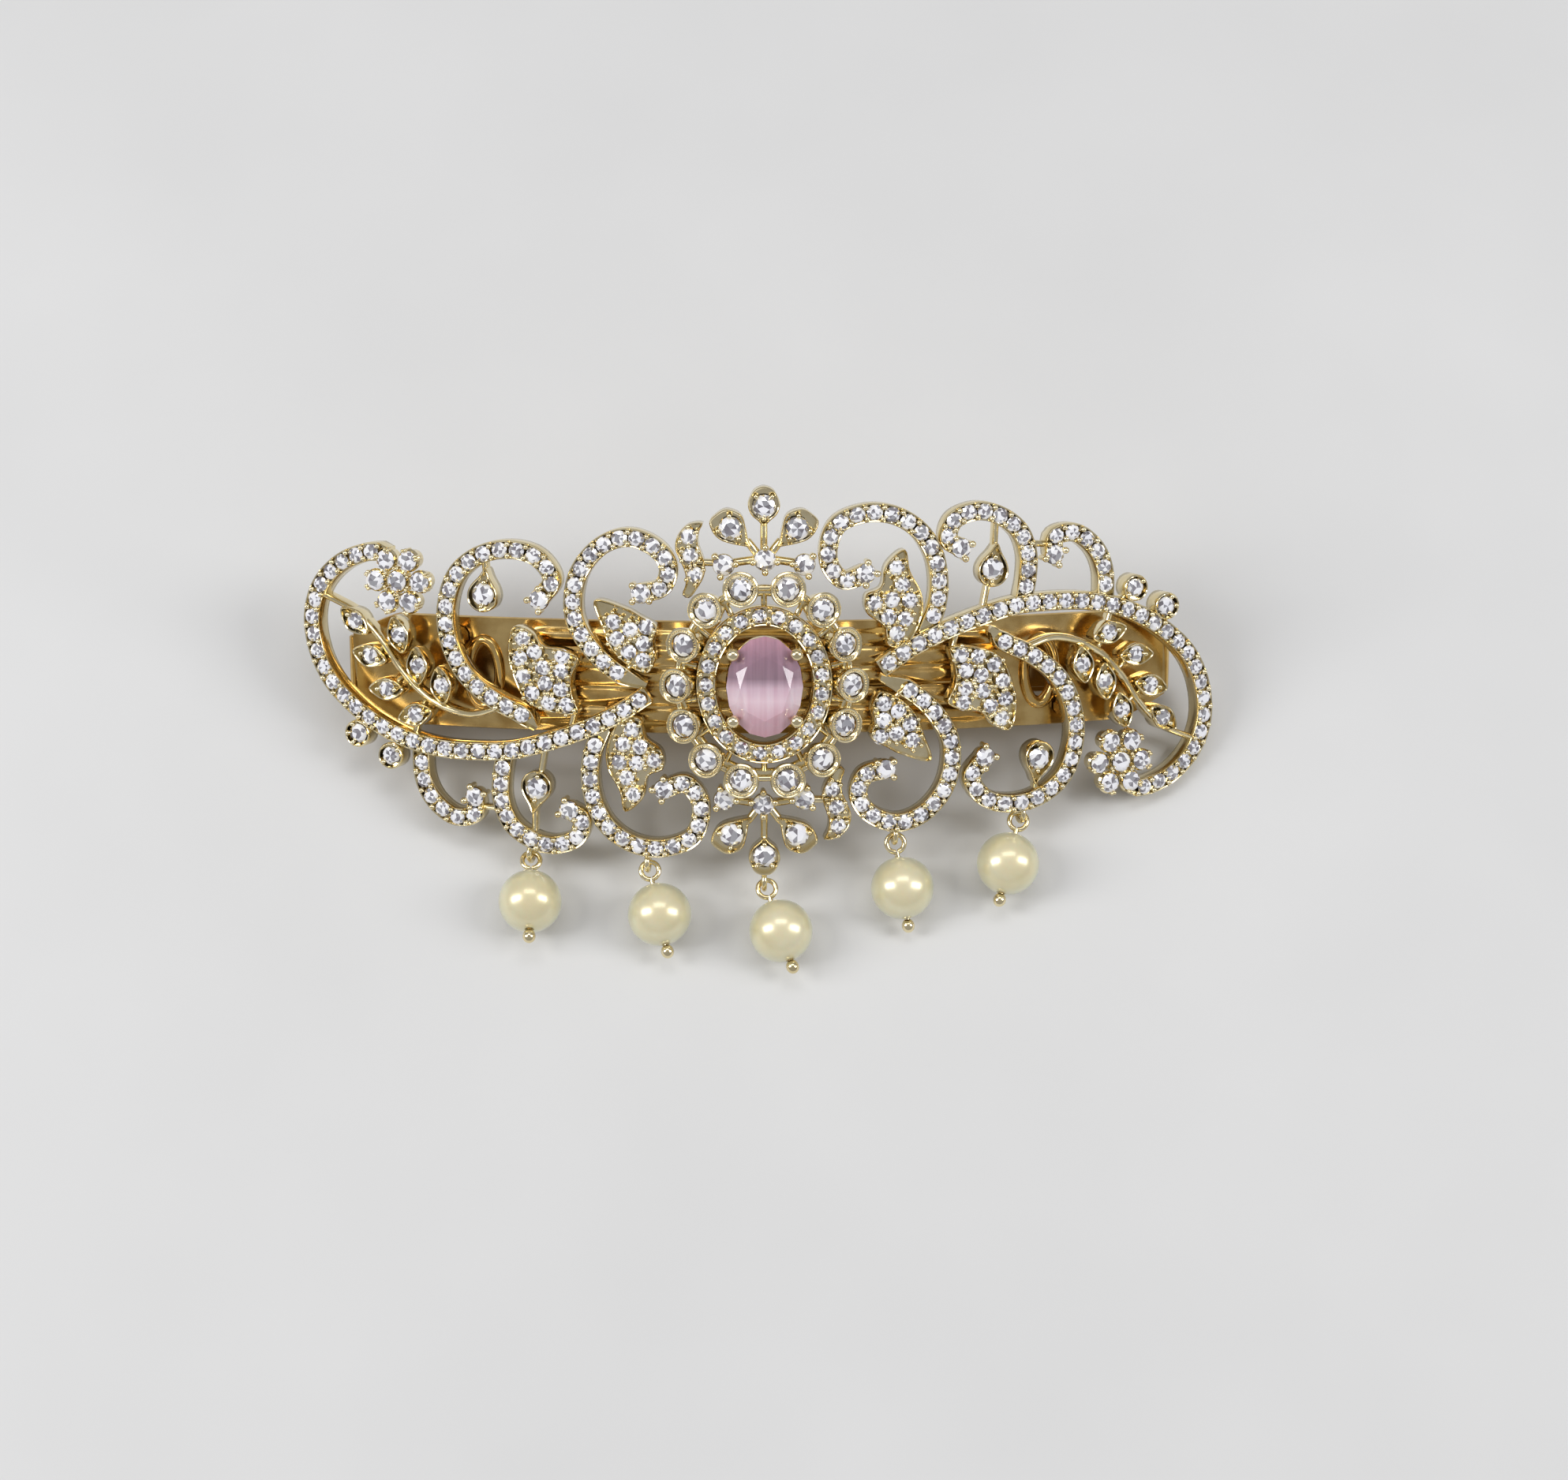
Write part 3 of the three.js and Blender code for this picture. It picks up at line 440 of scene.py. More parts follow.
def leaf(metal, paving, outline, stones, radius=STONE_RADIUS):
    """A pave leaf: rimmed pad, stones where given, and beads in the hollows between stones."""
    line = smooth(outline, closed=True, step=0.35)
    pad(metal, line)
    for x, y in stones:
        paving.stone(x, y, 1.58, radius)
    spots = np.array(stones)
    taken = []
    for spot in spots:
        for degrees in range(30, 390, 60):
            q = np.array(around(*spot, radius + 0.16, degrees))
            near = np.linalg.norm(spots - q, axis=1)
            if near.min() < radius + 0.05 or not inside(q, line, 0.12):
                continue
            if taken and np.linalg.norm(np.array(taken) - q, axis=1).min() < 0.27:
                continue
            taken.append(q)
            bead(metal, q[0], q[1], 1.74, 0.23)


def inside(point, outline, margin):
    """True where a point is inside the outline by at least the margin."""
    a, b = outline, np.roll(outline, -1, axis=0)
    crossing = (a[:, 1] > point[1]) != (b[:, 1] > point[1])
    rise = np.where(b[:, 1] == a[:, 1], 1e-9, b[:, 1] - a[:, 1])
    meets = (b[:, 0] - a[:, 0]) * (point[1] - a[:, 1]) / rise + a[:, 0]
    if np.sum(crossing & (point[0] < meets)) % 2 == 0:
        return False
    return np.linalg.norm(outline - point, axis=1).min() > margin


def petal(metal, paving, outline, stone, pairs):
    """A rimmed setting with one stone at its place (x, y, radius) and beads at the given directions."""
    pad(metal, smooth(outline, closed=True, step=0.25), high=1.95, floor=0.95)
    x, y, radius = stone
    paving.stone(x, y, 1.62, radius)
    for degrees in pairs:
        bead(metal, *around(x, y, radius + 0.1, degrees), 1.8)


def moved(outline, x, y, degrees):
    a = math.radians(degrees)
    c, s = math.cos(a), math.sin(a)
    return [(x + u * c - v * s, y + u * s + v * c) for u, v in outline]


ALMOND = [
    (1.85, 0), (0.95, 0.84), (0, 1.14), (-0.95, 0.84), (-1.85, 0), (-0.95, -0.84), (0, -1.14), (0.95, -0.84),
]
PEAR = [
    (2.5, 0), (1.6, 0.6), (0.8, 1.2), (0, 1.5), (-0.9, 1.35), (-1.5, 0.75), (-1.7, 0), (-1.5, -0.75),
    (-0.9, -1.35), (0, -1.5), (0.8, -1.2), (1.6, -0.6),
]


def almond(metal, paving, x, y, degrees):
    petal(metal, paving, moved(ALMOND, x, y, degrees), (x, y, 0.82), (degrees, degrees + 180))


def pear(metal, paving, x, y, degrees):
    petal(metal, paving, moved(PEAR, x, y, degrees), (x, y, 1.06), (degrees, degrees + 180))


def cup(metal, paving, x, y, radius, pairs):
    """A round rimmed cup with a stone and ball claws."""
    outline = [(x + radius * math.cos(a), y + radius * math.sin(a)) for a in np.arange(10) * math.pi / 5]
    petal(metal, paving, outline, (x, y, radius - 0.42), pairs)


def link(metal, points, half=0.32, low=0.3, high=1.35):
    metal.add(*sweep(smooth(points), bar_section(half, low, high)))


# -------- right wing, flat (the left one is it, turned by half a turn)

BIG_LOOP = [
    (11.0, 1.2), (13.8, 3.05), (17.0, 4.6), (20.3, 5.8), (24.0, 6.8), (27.5, 7.05), (31.0, 6.95), (34.5, 6.3),
    (37.7, 5.0), (40.5, 3.2), (42.8, 1.0), (44.3, -1.9), (44.7, -5.2), (43.7, -8.1), (41.4, -10.35),
    (38.6, -11.5), (36.2, -11.65),
]
INNER_HOOK = [
    (21.7, 4.6), (22.9, 3.45), (25.8, 2.0), (28.6, -0.3), (30.2, -3.5), (30.4, -6.7), (29.2, -9.9),
    (26.6, -11.8), (23.6, -12.25), (21.2, -11.5), (19.9, -9.5), (21.2, -7.7),
]
SECOND_SCROLL = [
    (24.7, 6.8), (25.2, 9.5), (25.2, 11.7), (24.3, 13.9), (22.1, 15.45), (19.9, 15.8), (17.8, 14.9),
    (17.4, 13.2), (18.6, 12.4),
]
SMALL_HOOK = [(33.3, 6.6), (33.1, 10.0), (32.0, 12.1), (29.9, 13.5), (27.9, 13.1), (27.9, 11.5)]
BIG_SCROLL = [
    (9.5, 10.2), (7.5, 9.6), (6.2, 10.9), (6.0, 12.7), (6.9, 14.8), (9.7, 15.85), (12.4, 15.5),
    (14.6, 14.1), (16.0, 11.9), (16.5, 9.4), (16.3, 7.0), (15.3, 4.4),
]
LOWER_SCROLL = [
    (11.1, 0.3), (13.6, -0.8), (16.0, -2.85), (17.7, -5.6), (17.9, -8.1), (17.1, -10.7), (15.0, -12.9),
    (12.5, -13.6), (9.9, -12.5), (8.9, -10.8), (9.5, -9.0), (11.5, -8.4),
]
VINE_STEM = [
    (25.6, 2.9), (28.0, 3.55), (30.5, 3.1), (32.9, 1.9), (35.2, -0.3), (37.4, -3.3), (39.8, -5.6),
    (43.6, -7.3),
]
VINE_LEAVES = [
    (33.75, 3.8, 15), (36.7, 1.5, 0), (38.4, -1.6, -15), (39.9, -4.9, -40),
    (31.0, 0.85, 278), (33.4, -0.9, 275), (35.3, -3.8, 285),
]
UPPER_LEAF = [
    (13.2, 12.4), (11.4, 11.0), (10.9, 8.9), (9.5, 8.2), (9.6, 6.5), (11.2, 5.2), (11.6, 3.4),
    (13.4, 3.4), (14.9, 6.2), (14.8, 8.3), (13.7, 10.4),
]
UPPER_LEAF_STONES = [
    (12.4, 10.7), (13.0, 9.1), (12.0, 7.7), (13.7, 7.6), (10.4, 7.4), (11.7, 6.1), (13.3, 5.9),
    (12.5, 4.5),
]
LOWER_LEAF = [
    (10.9, -0.9), (10.1, -2.4), (10.3, -3.8), (10.0, -5.3), (11.6, -6.3), (12.9, -7.0), (15.9, -7.7),
    (15.2, -5.2), (14.4, -3.2), (12.6, -1.5),
]
LOWER_LEAF_STONES = [
    (11.3, -2.1), (12.7, -2.9), (11.3, -3.7), (13.8, -4.1), (11.0, -5.3), (12.5, -5.0), (14.1, -5.7),
]
GRAPE_LEAF = [
    (17.5, 3.0), (20.4, 3.0), (22.6, 2.0), (23.8, -0.3), (24.3, -2.8), (23.6, -5.1), (21.8, -4.5),
    (20.8, -3.3), (18.9, -3.0), (17.4, -2.2), (18.1, -0.4), (18.0, 1.4),
]
GRAPE_LEAF_STONES = [
    (18.7, 2.3), (20.4, 2.1), (19.2, 0.8), (22.0, 1.25), (20.7, 0.3), (22.85, -0.35), (19.2, -0.9),
    (20.9, -1.2), (19.0, -2.3), (21.7, -2.7), (23.15, -2.05), (22.8, -3.9),
]
LINKS = [
    [(16.0, 12.6), (17.4, 13.2)], [(25.2, 12.6), (27.9, 12.4)], [(17.9, 2.6), (18.6, 5.2)],
    [(12.4, 4.0), (13.4, 2.8)], [(12.4, -1.6), (13.5, -0.8)],
    [(22.0, 12.4), (22.1, 15.0)], [(21.4, 9.0), (20.9, 6.4)], [(26.5, -10.0), (26.6, -11.6)],
    [(33.5, 3.9), (34.2, 6.0)], [(40.2, 3.6), (39.9, 5.9)], [(34.8, 6.4), (36.4, 7.8)],
]
FLOWER = (35.3, -8.9)
FLOWER_RING = 2.3


def wing(metal, paving):
    scroll(metal, paving, BIG_LOOP, 0.1, 1.0)
    scroll(metal, paving, INNER_HOOK, 1.0, 1.0, (21.2, -7.6), (0, 90, 270), point=1.4)
    scroll(metal, paving, SECOND_SCROLL, 1.0, 1.0, (18.6, 12.4), (20, 290))
    scroll(metal, paving, SMALL_HOOK, 1.0, 1.0, (27.9, 11.5), (200, 290, 20))
    scroll(metal, paving, BIG_SCROLL[::-1], 1.0, 1.0, (9.5, 10.2), (80, 270, 0))
    scroll(metal, paving, LOWER_SCROLL, 2.2, 1.0, (11.5, -8.4), (45, 315, 140), point=2.4)
    vine(metal, paving)
    leaf(metal, paving, UPPER_LEAF, UPPER_LEAF_STONES)
    leaf(metal, paving, LOWER_LEAF, LOWER_LEAF_STONES)
    leaf(metal, paving, GRAPE_LEAF, GRAPE_LEAF_STONES)
    pear(metal, paving, 21.7, 10.35, 82)
    pear(metal, paving, 26.6, -8.0, 262)
    cup(metal, paving, 36.4, 7.95, 1.3, (40, 220))
    cup(metal, paving, 39.9, 6.0, 1.35, (0, 60, 300))
    for points in LINKS:
        link(metal, points)
    flower(metal, paving)


def vine(metal, paving):
    line = smooth(VINE_STEM)
    taper = np.interp(np.linspace(0, 1, len(line)), [0, 0.2, 1], [0.8, 1.0, 0.75])
    metal.add(*sweep(line, bar_section(0.42, 0.2, 1.7), taper))
    for x, y, degrees in VINE_LEAVES:
        root = line[np.argmin(np.linalg.norm(line - [x, y], axis=1))]
        link(metal, [(x, y), tuple(root)], 0.25)
        almond(metal, paving, x, y, degrees)


def flower(metal, paving):
    spots = [FLOWER] + [around(*FLOWER, FLOWER_RING, degrees) for degrees in range(0, 360, 60)]
    for x, y in spots:
        points, faces = lathe([(0, 0.1), (0.9, 0.0), (1.12, 1.3), (0.95, 1.5), (0, 1.35)], 18)
        metal.add(points + [x, y, 0], faces)
        paving.stone(x, y, 1.72, 0.94)
    for i in range(6):
        a = i * math.pi / 3
        for offset in (-0.5, 0.5):
            b = a + offset * 0.24 + math.pi / 6
            post_bead(metal, FLOWER[0] + 1.28 * math.cos(b), FLOWER[1] + 1.28 * math.sin(b), 1.0, 2.15, 0.17)
            for turn in (-0.75, 0.75):
                c = a + turn + offset * 0.3
                x = spots[i + 1][0] + 1.02 * math.cos(c)
                y = spots[i + 1][1] + 1.02 * math.sin(c)
                post_bead(metal, x, y, 0.8, 2.1, 0.18)


# -------- crest

TOP_PETAL = [
    (0, 18.4), (0.85, 18.1), (1.3, 17.4), (1.5, 16.7), (1.2, 15.8), (0.55, 15.2), (0, 14.7),
    (-0.55, 15.2), (-1.2, 15.8), (-1.5, 16.7), (-1.3, 17.4), (-0.85, 18.1),
]
SIDE_PETAL = [
    (-5.05, 15.2), (-4.5, 15.8), (-3.6, 16.3), (-2.5, 16.05), (-2.0, 15.6), (-1.65, 14.45), (-1.45, 13.45),
    (-1.15, 12.8), (-2.05, 12.9), (-3.05, 13.1), (-4.05, 13.45), (-4.75, 14.15),
]
S_LEAF = [
    (-5.65, 15.0), (-7.0, 14.9), (-8.0, 13.9), (-8.25, 12.7), (-7.75, 11.4), (-7.35, 10.4), (-7.3, 9.3),
    (-7.6, 8.3), (-7.0, 8.0), (-6.2, 8.9), (-5.5, 10.3), (-5.6, 11.6), (-6.1, 13.1), (-6.0, 14.2),
]
S_LEAF_STONES = [(-7.0, 13.75), (-6.85, 11.95), (-6.4, 10.2)]


def crest(metal, paving):
    petal(metal, paving, TOP_PETAL, (0, 16.55, 1.08), (270, 50, 130))
    petal(metal, paving, SIDE_PETAL, (-3.1, 14.5, 1.1), (95, 190, 310))
    petal(metal, paving, [(-x, y) for x, y in SIDE_PETAL], (3.1, 14.5, 1.1), (85, 350, 230))
    claw_setting(metal, paving, 0.1, 11.57, 1.0, (90, 190, 350, 270))
    claw_setting(metal, paving, -3.75, 11.1, 0.98, (135, 5, 255))
    claw_setting(metal, paving, 3.75, 11.1, 0.98, (45, 175, 290))
    link(metal, [(-3.75, 11.1), (-1.8, 11.4), (0.1, 11.6), (1.8, 11.4), (3.75, 11.1)], 0.4)
    link(metal, [(-1.6, 13.3), (0, 11.7), (1.6, 13.3)], 0.4)
    link(metal, [(0, 11.6), (0, 15.2)], 0.35)
    link(metal, [(-6.3, 11.3), (-3.75, 11.2)], 0.35)
    leaf(metal, paving, S_LEAF, S_LEAF_STONES, 0.76)


def half_turn(points):
    return points * [-1, -1, 1]


def eyelet(metal, s, y):
    """A fixed wire loop in the plane across the ornament."""
    angle = np.linspace(0, 2 * math.pi, 24, endpoint=False)
    loop = np.column_stack([np.full(24, s), y + 0.8 * np.cos(angle), 0.3 + 0.8 * np.sin(angle)])
    metal.add(*tube(loop, 0.26, 10, closed=True))


EYELETS = {"wing_left": [(-22.7, -16.95), (-11.2, -17.5)], "crest_lower": [(0, -19.25)],
           "wing_right": [(12.6, -15.0), (25.3, -13.5)]}


def build_castings(gold, facets):
    for seed, (node, draw, turned_round) in enumerate((
        ("wing_right", wing, False), ("wing_left", wing, True),
        ("crest_upper", crest, False), ("crest_lower", crest, True),
    )):
        drawn, paving = Shell(), Paving(11 + seed)
        draw(drawn, paving)
        metal, stones = Shell(), Shell()
        metal.add_shell(drawn, half_turn if turned_round else None)
        stones.add_shell(paving.shell, half_turn if turned_round else None)
        for s, y in EYELETS.get(node, []):
            eyelet(metal, s, y)
        hand_over(make(node + "_casting", metal, [gold]), "ornament", "cast_gold", node)
        hand_over(make(node + "_stones", stones, facets, sharp=0), "ornament", "clear_stone")


# -------- medallion

BEZEL_SPOTS = [(8.3, 0), (7.6, 3.8), (5.5, 7.05), (2.2, 9.0)]
BEZEL_LOW = 1.3
BEZEL_HEIGHT = 1.9
BEZEL_TILT = 0.44
BEZEL_PLACES = (
    BEZEL_SPOTS + [(-x, y) for x, y in reversed(BEZEL_SPOTS)]
    + [(-x, -y) for x, y in BEZEL_SPOTS[1:]] + [(x, -y) for x, y in reversed(BEZEL_SPOTS[1:])]
)
HALO = (5.4, 6.5)
HALO_STONES = 21


def in_bezel(points, place):
    tilt = BEZEL_TILT * place[0] / BEZEL_SPOTS[0][0]
    return turned(points - [0, 0, BEZEL_HEIGHT], tilt) + [place[0], place[1], BEZEL_LOW + BEZEL_HEIGHT]


def bezel(metal, place):
    """A tapered cup with a bright rim and a ring of fine beads inside it."""
    profile = [
        (1.0, -0.25), (1.3, -0.3), (1.45, 0.3), (1.6, 1.2), (1.68, 1.72), (1.64, 1.86), (1.54, 1.92),
        (1.44, 1.88), (1.36, 1.74), (1.16, 1.6), (1.1, 1.2), (1.0, 0.6),
    ]
    points, faces = lathe(profile, 40, closed=True)
    metal.add(in_bezel(points, place), faces)
    for a in np.arange(34) * 2 * math.pi / 34:
        points, faces = BEAD
        spot = points * 0.075 + [1.29 * math.cos(a), 1.31 * math.sin(a), 1.78]
        metal.add(in_bezel(spot, place), faces)


def build_medallion(gold, facets):
    metal = Shell()
    paving = Paving(31)
    line = circle(0, 0, HALO[0], 90, HALO[1] / HALO[0])
    section = band_section(0.92, low=0.9, high=2.75, rim=0.16, floor=2.0)
    metal.add(*sweep(line, section, closed=True))
    pitch = length_of(np.vstack([line, line[:1]])) / HALO_STONES
    pave_row(metal, paving, line, 2.6, pitch=pitch, radius=0.66, closed=True)
    base = circle(0, 0, 7.9, 90, 8.7 / 7.9)
    metal.add(*sweep(base, bar_section(0.55, 0.8, 1.5), closed=True))
    for place in BEZEL_PLACES:
        bezel(metal, place)
    for a, b in zip(BEZEL_PLACES, BEZEL_PLACES[1:] + BEZEL_PLACES[:1]):
        a, b = np.array(a), np.array(b)
        link(metal, [a + (b - a) * 0.36, a + (b - a) * 0.64], 0.3, 1.4, 2.1)
        middle = (a + b) / 2
        link(metal, [middle * 0.8, middle * 0.93], 0.3, 0.9, 1.5)
    hand_over(make("medallion_casting", metal, [gold]), "ornament", "cast_gold", "medallion_frame")
    hand_over(make("halo_stones", paving.shell, facets, sharp=0), "ornament", "clear_stone")
    for number, place in enumerate(BEZEL_PLACES, 1):
        points, faces, kinds = BRILLIANT
        body = turned(points * 1.06, 0, number * 0.7) + [0, 0, 1.5]
        gem = Shell().add(in_bezel(body, place), faces, paving.looks(kinds))
        node = f"bezel_stone_{number:02d}"
        piece = make(f"bezel_gem_{number:02d}", gem, facets, sharp=0)
        hand_over(piece, "ornament", "clear_stone", node)


# -------- centre stone

CENTRE_AXES = (3.5, 4.75)
CLAWS = [(2.95, 3.2), (-2.95, 3.2), (-2.95, -3.2), (2.95, -3.2)]
GEM_LEVELS = [(0.34, 4.75), (0.2, 4.3), (0.03, 3.62), (-0.03, 3.45), (-0.36, 2.2), (-0.62, 1.6)]


def oval_gem():
    """An oval brilliant: the round one stretched, with its own heights and a wide table."""
    points, faces, _ = BRILLIANT
    old, new = zip(*GEM_LEVELS)
    heights = np.interp(points[:, 2], old[::-1], new[::-1])
    table = points[:, 2] > GEM_LEVELS[0][0] - 0.01
    wide = np.where(table, 1.14, 1.0)
    points = np.column_stack([points[:, 0] * wide, points[:, 1] * wide, heights])
    return points * [CENTRE_AXES[0], CENTRE_AXES[1], 1], faces


def build_centre(gold, pink):
    points, faces = oval_gem()
    gem = make("centre_gem", Shell().add(points, faces), [pink], sharp=0)
    hand_over(gem, "ornament", "pink_stone", "centre_stone")
    metal = Shell()
    gallery = [(2.9, 1.2), (3.5, 1.2), (3.6, 1.6), (3.5, 1.9), (2.9, 1.6)]
    points, faces = lathe(gallery, 64, closed=True)
    metal.add(points * [1, 1.25, 1], faces)
    for x, y in CLAWS:
        lean = np.array([x, y]) / math.hypot(x, y)
        foot = np.array([x, y]) + lean * 0.25
        knee = np.array([x, y]) + lean * 0.2
        head = np.array([x, y]) - lean * 0.12
        spots = [(*foot, 1.4), (*knee, 2.6), (*(knee * 0.6 + head * 0.4), 3.6), (*head, 4.25)]
        metal.add(*tube(smooth(spots, step=0.2), 0.36, 12))
        points, faces = ball(0.6, 10, 16)
        metal.add(points * [1, 1, 0.9] + [head[0], head[1], 4.35], faces)
    hand_over(make("centre_claws", metal, [gold]), "ornament", "cast_gold", "centre_basket")


# -------- clip

PLATE_HALF_LENGTH = 40.6
PLATE_HALF_WIDTH = 5.4
PLATE_THICKNESS = 0.7
FLUTED_HALF_LENGTH = 22.5
CLIP_END_X = 36.6
PIN_HEIGHT = -12.0
CATCH_X = -35.8
CATCH_WINDOW = (2.4, 4.9)    # the arm's window for the catch, along and across
ARM_RADIUS, ARM_MIDDLE = 219.7, -8.9
SPRING_RADIUS, SPRING_MIDDLE = 301, -8.1
SPRING_HALF_LENGTH = 33.2


def strip(shell, spine, half_width, thickness, edge=0.12, relief=None, across=9):
    """A sheet-metal strip. spine is (x, z, nx, nz) for its front face; relief(x, y) raises that face."""
    ys = list(np.linspace(-half_width + edge, half_width - edge, across))
    rows = []
    for x, z, nx, nz, width in spine:
        ring = []
        for y in ys:
            lift = relief(x, y) if relief else 0.0
            ring.append((y * width, lift))
        ring += [(half_width * width, -thickness * 0.3), (half_width * width, -thickness * 0.7)]
        for y in reversed(ys):
            lift = relief(x, y) if relief else 0.0
            ring.append((y * width, lift - thickness))
        ring += [(-half_width * width, -thickness * 0.7), (-half_width * width, -thickness * 0.3)]
        rows.append([(x + nx * h, y, z + nz * h) for y, h in ring])
    faces = capped(len(rows), len(rows[0]), flip=True)
    shell.add(np.array(rows).reshape(-1, 3), faces)


def cut(piece, shell):
    """Cuts a shell's solids out of a piece."""
    cutter = make("cutter", shell, [], place="local", sharp=0)
    modifier = piece.modifiers.new("cut", "BOOLEAN")
    modifier.operation = "DIFFERENCE"
    modifier.solver = "EXACT"
    modifier.object = cutter
    bpy.context.view_layer.update()
    mesh = bpy.data.meshes.new_from_object(piece.evaluated_get(bpy.context.evaluated_depsgraph_get()))
    piece.modifiers.clear()
    piece.data = mesh
    bpy.data.objects.remove(cutter)
    mesh.polygons.foreach_set("use_smooth", [True] * len(mesh.polygons))
    mesh.set_sharp_from_angle(angle=math.radians(35))


def upright(profile, x, z, closed=False):
    """A turned solid whose axis runs across the clip."""
    points, faces = lathe(profile, 32, closed)
    return np.column_stack([points[:, 0] + x, points[:, 2], -points[:, 1] + z]), faces


def box_at(x, y, z, dx, dy, dz):
    corners = [(i, j, k) for i in (-1, 1) for j in (-1, 1) for k in (-1, 1)]
    points = np.array(corners) * [dx / 2, dy / 2, dz / 2] + [x, y, z]
    return points, [[0, 1, 3, 2], [4, 6, 7, 5], [0, 4, 5, 1], [2, 3, 7, 6], [0, 2, 6, 4], [1, 5, 7, 3]]


def flutes(x, y):
    """Five rounded ridges along the middle of the plate, fading out towards its ends."""
    fade = min(1.0, max(0.0, (FLUTED_HALF_LENGTH - abs(x)) / 1.6))
    edge = min(1.0, max(0.0, (4.7 - abs(y)) / 0.5))
    return 0.32 * fade * edge * abs(math.sin(math.pi * y / 1.9 + math.pi / 2)) ** 0.8


SLOT_X = 26.6
# Domed lip round each oval hole: (across, height), outwards side first.
LIP_SECTION = [
    (0.62, -1.75), (0.6, -1.32), (0.48, -1.08), (0.28, -0.92), (0.02, -0.85), (-0.24, -0.92), (-0.44, -1.1),
    (-0.52, -1.4), (-0.52, -1.75),
]


def build_plate(look):
    shell = Shell()
    spine = []
    for s in np.linspace(-PLATE_HALF_LENGTH, PLATE_HALF_LENGTH, 163):
        a = s / PLATE_RADIUS
        taper = 1 - 0.42 * max(0.0, (abs(s) - 35.6) / 5.2) ** 1.2
        x, z = PLATE_RADIUS * math.sin(a), PLATE_RADIUS * math.cos(a) - BASE_RADIUS
        spine.append((x, z, math.sin(a), math.cos(a), taper))
    strip(shell, spine, PLATE_HALF_WIDTH, PLATE_THICKNESS, relief=flutes, across=73)
    plate = make("clip_plate_fluted", shell, [look], place="local")
    holes = Shell()
    for side in (-1, 1):
        points, faces = lathe([(0, -8), (1.1, -8), (1.1, 8), (0, 8)], 32)
        holes.add(points * [1, 2.4, 1] + [side * SLOT_X, 0, -2], faces)
    cut(plate, holes)
    hand_over(plate, "ornament", "clip_gold", "clip_plate")
    fittings = Shell()
    slot_s = FACE_RADIUS * math.asin(SLOT_X / (BASE_RADIUS - 1.1))
    for side in (-1, 1):
        a = side * (PLATE_HALF_LENGTH - 0.1) / PLATE_RADIUS
        x = (PLATE_RADIUS - 0.35) * math.sin(a)
        z = (PLATE_RADIUS - 0.35) * math.cos(a) - BASE_RADIUS - 0.3
        curl = [(0, -2.9), (0.55, -2.9), (0.7, -2.75), (0.7, 2.75), (0.55, 2.9), (0, 2.9)]
        fittings.add(*upright(curl, x, z))
        ring, faces = sweep(circle(side * slot_s, 0, 1.66, 64, 3.2 / 1.66), LIP_SECTION, closed=True)
        fittings.add(bent(ring), faces)
        fittings.add(*lug(side))
    hand_over(make("clip_fittings", fittings, [look], place="local"), "ornament", "clip_gold")


def lug(side):
    """A sheet lug that drops from the plate and holds the hinge pin."""
    x, z, r = CLIP_END_X, PIN_HEIGHT, 1.15
    angles = np.linspace(math.pi, 2 * math.pi, 14)
    round_end = [(x + r * math.cos(a), z + r * math.sin(a)) for a in angles]
    outline = [(x - r, -8.7)] + round_end + [(x + r, -9.4)]
    y = side * 3.25
    n = len(outline)
    points = [(px, y + t, pz) for t in (-0.3, 0.3) for px, pz in outline]
    faces = [list(range(n)), [n + i for i in reversed(range(n))]]
    faces += [[i, i + n, (i + 1) % n + n, (i + 1) % n] for i in range(n)]
    return np.array(points), faces


def crown(x, y):
    """The low rounded ridge along the middle of the arm."""
    if abs(y) > 1.2 or abs(x) > 30:
        return 0.0
    return 0.1 * math.cos(y / 1.2 * math.pi / 2)


def arch_row(x, radius, middle, width):
    """One row of an arched strip's spine, for strip()."""
    slope = math.asin(x / radius)
    z = middle - (radius - math.sqrt(radius * radius - x * x))
    return x, z, math.sin(slope), math.cos(slope), width


def build_arm(look):
    shell = Shell()
    spine = []
    for x in np.linspace(-37.9, CLIP_END_X - 1.0, 120):
        width = 1 - 0.12 * max(0.0, (x - 33.4) / 3) - 0.25 * max(0.0, (-36.9 - x)) ** 2
        spine.append(arch_row(x, ARM_RADIUS, ARM_MIDDLE, width))
    strip(shell, spine, 3.1, 0.7, relief=crown, across=21)
    arm = make("clasp_arm_bar", shell, [look], place="local")
    window = Shell().add(*box_at(CATCH_X + 0.1, 0, -12, *CATCH_WINDOW, 6))
    cut(arm, window)
    hand_over(arm, "clasp_arm", "clip_gold", "clasp_arm")
    knuckle = [(0.75, -2.65), (1.15, -2.65), (1.15, 2.65), (0.75, 2.65)]
    rolled = Shell().add(*upright(knuckle, CLIP_END_X, PIN_HEIGHT, closed=True))
    hand_over(make("clasp_knuckle", rolled, [look], place="local"), "clasp_arm", "clip_gold")


def build_spring(look):
    shell = Shell()
    spine = []
    for x in np.linspace(-SPRING_HALF_LENGTH, SPRING_HALF_LENGTH, 90):
        end = max(0.0, (abs(x) - 31.2) / 2.0)
        spine.append(arch_row(x, SPRING_RADIUS, SPRING_MIDDLE, math.sqrt(max(0.06, 1 - end * end))))
    strip(shell, spine, 2.4, 0.35, edge=0.06)
    piece = make("bow_spring_strip", shell, [look], place="local")
    hand_over(piece, "ornament", "clip_gold", "bow_spring")


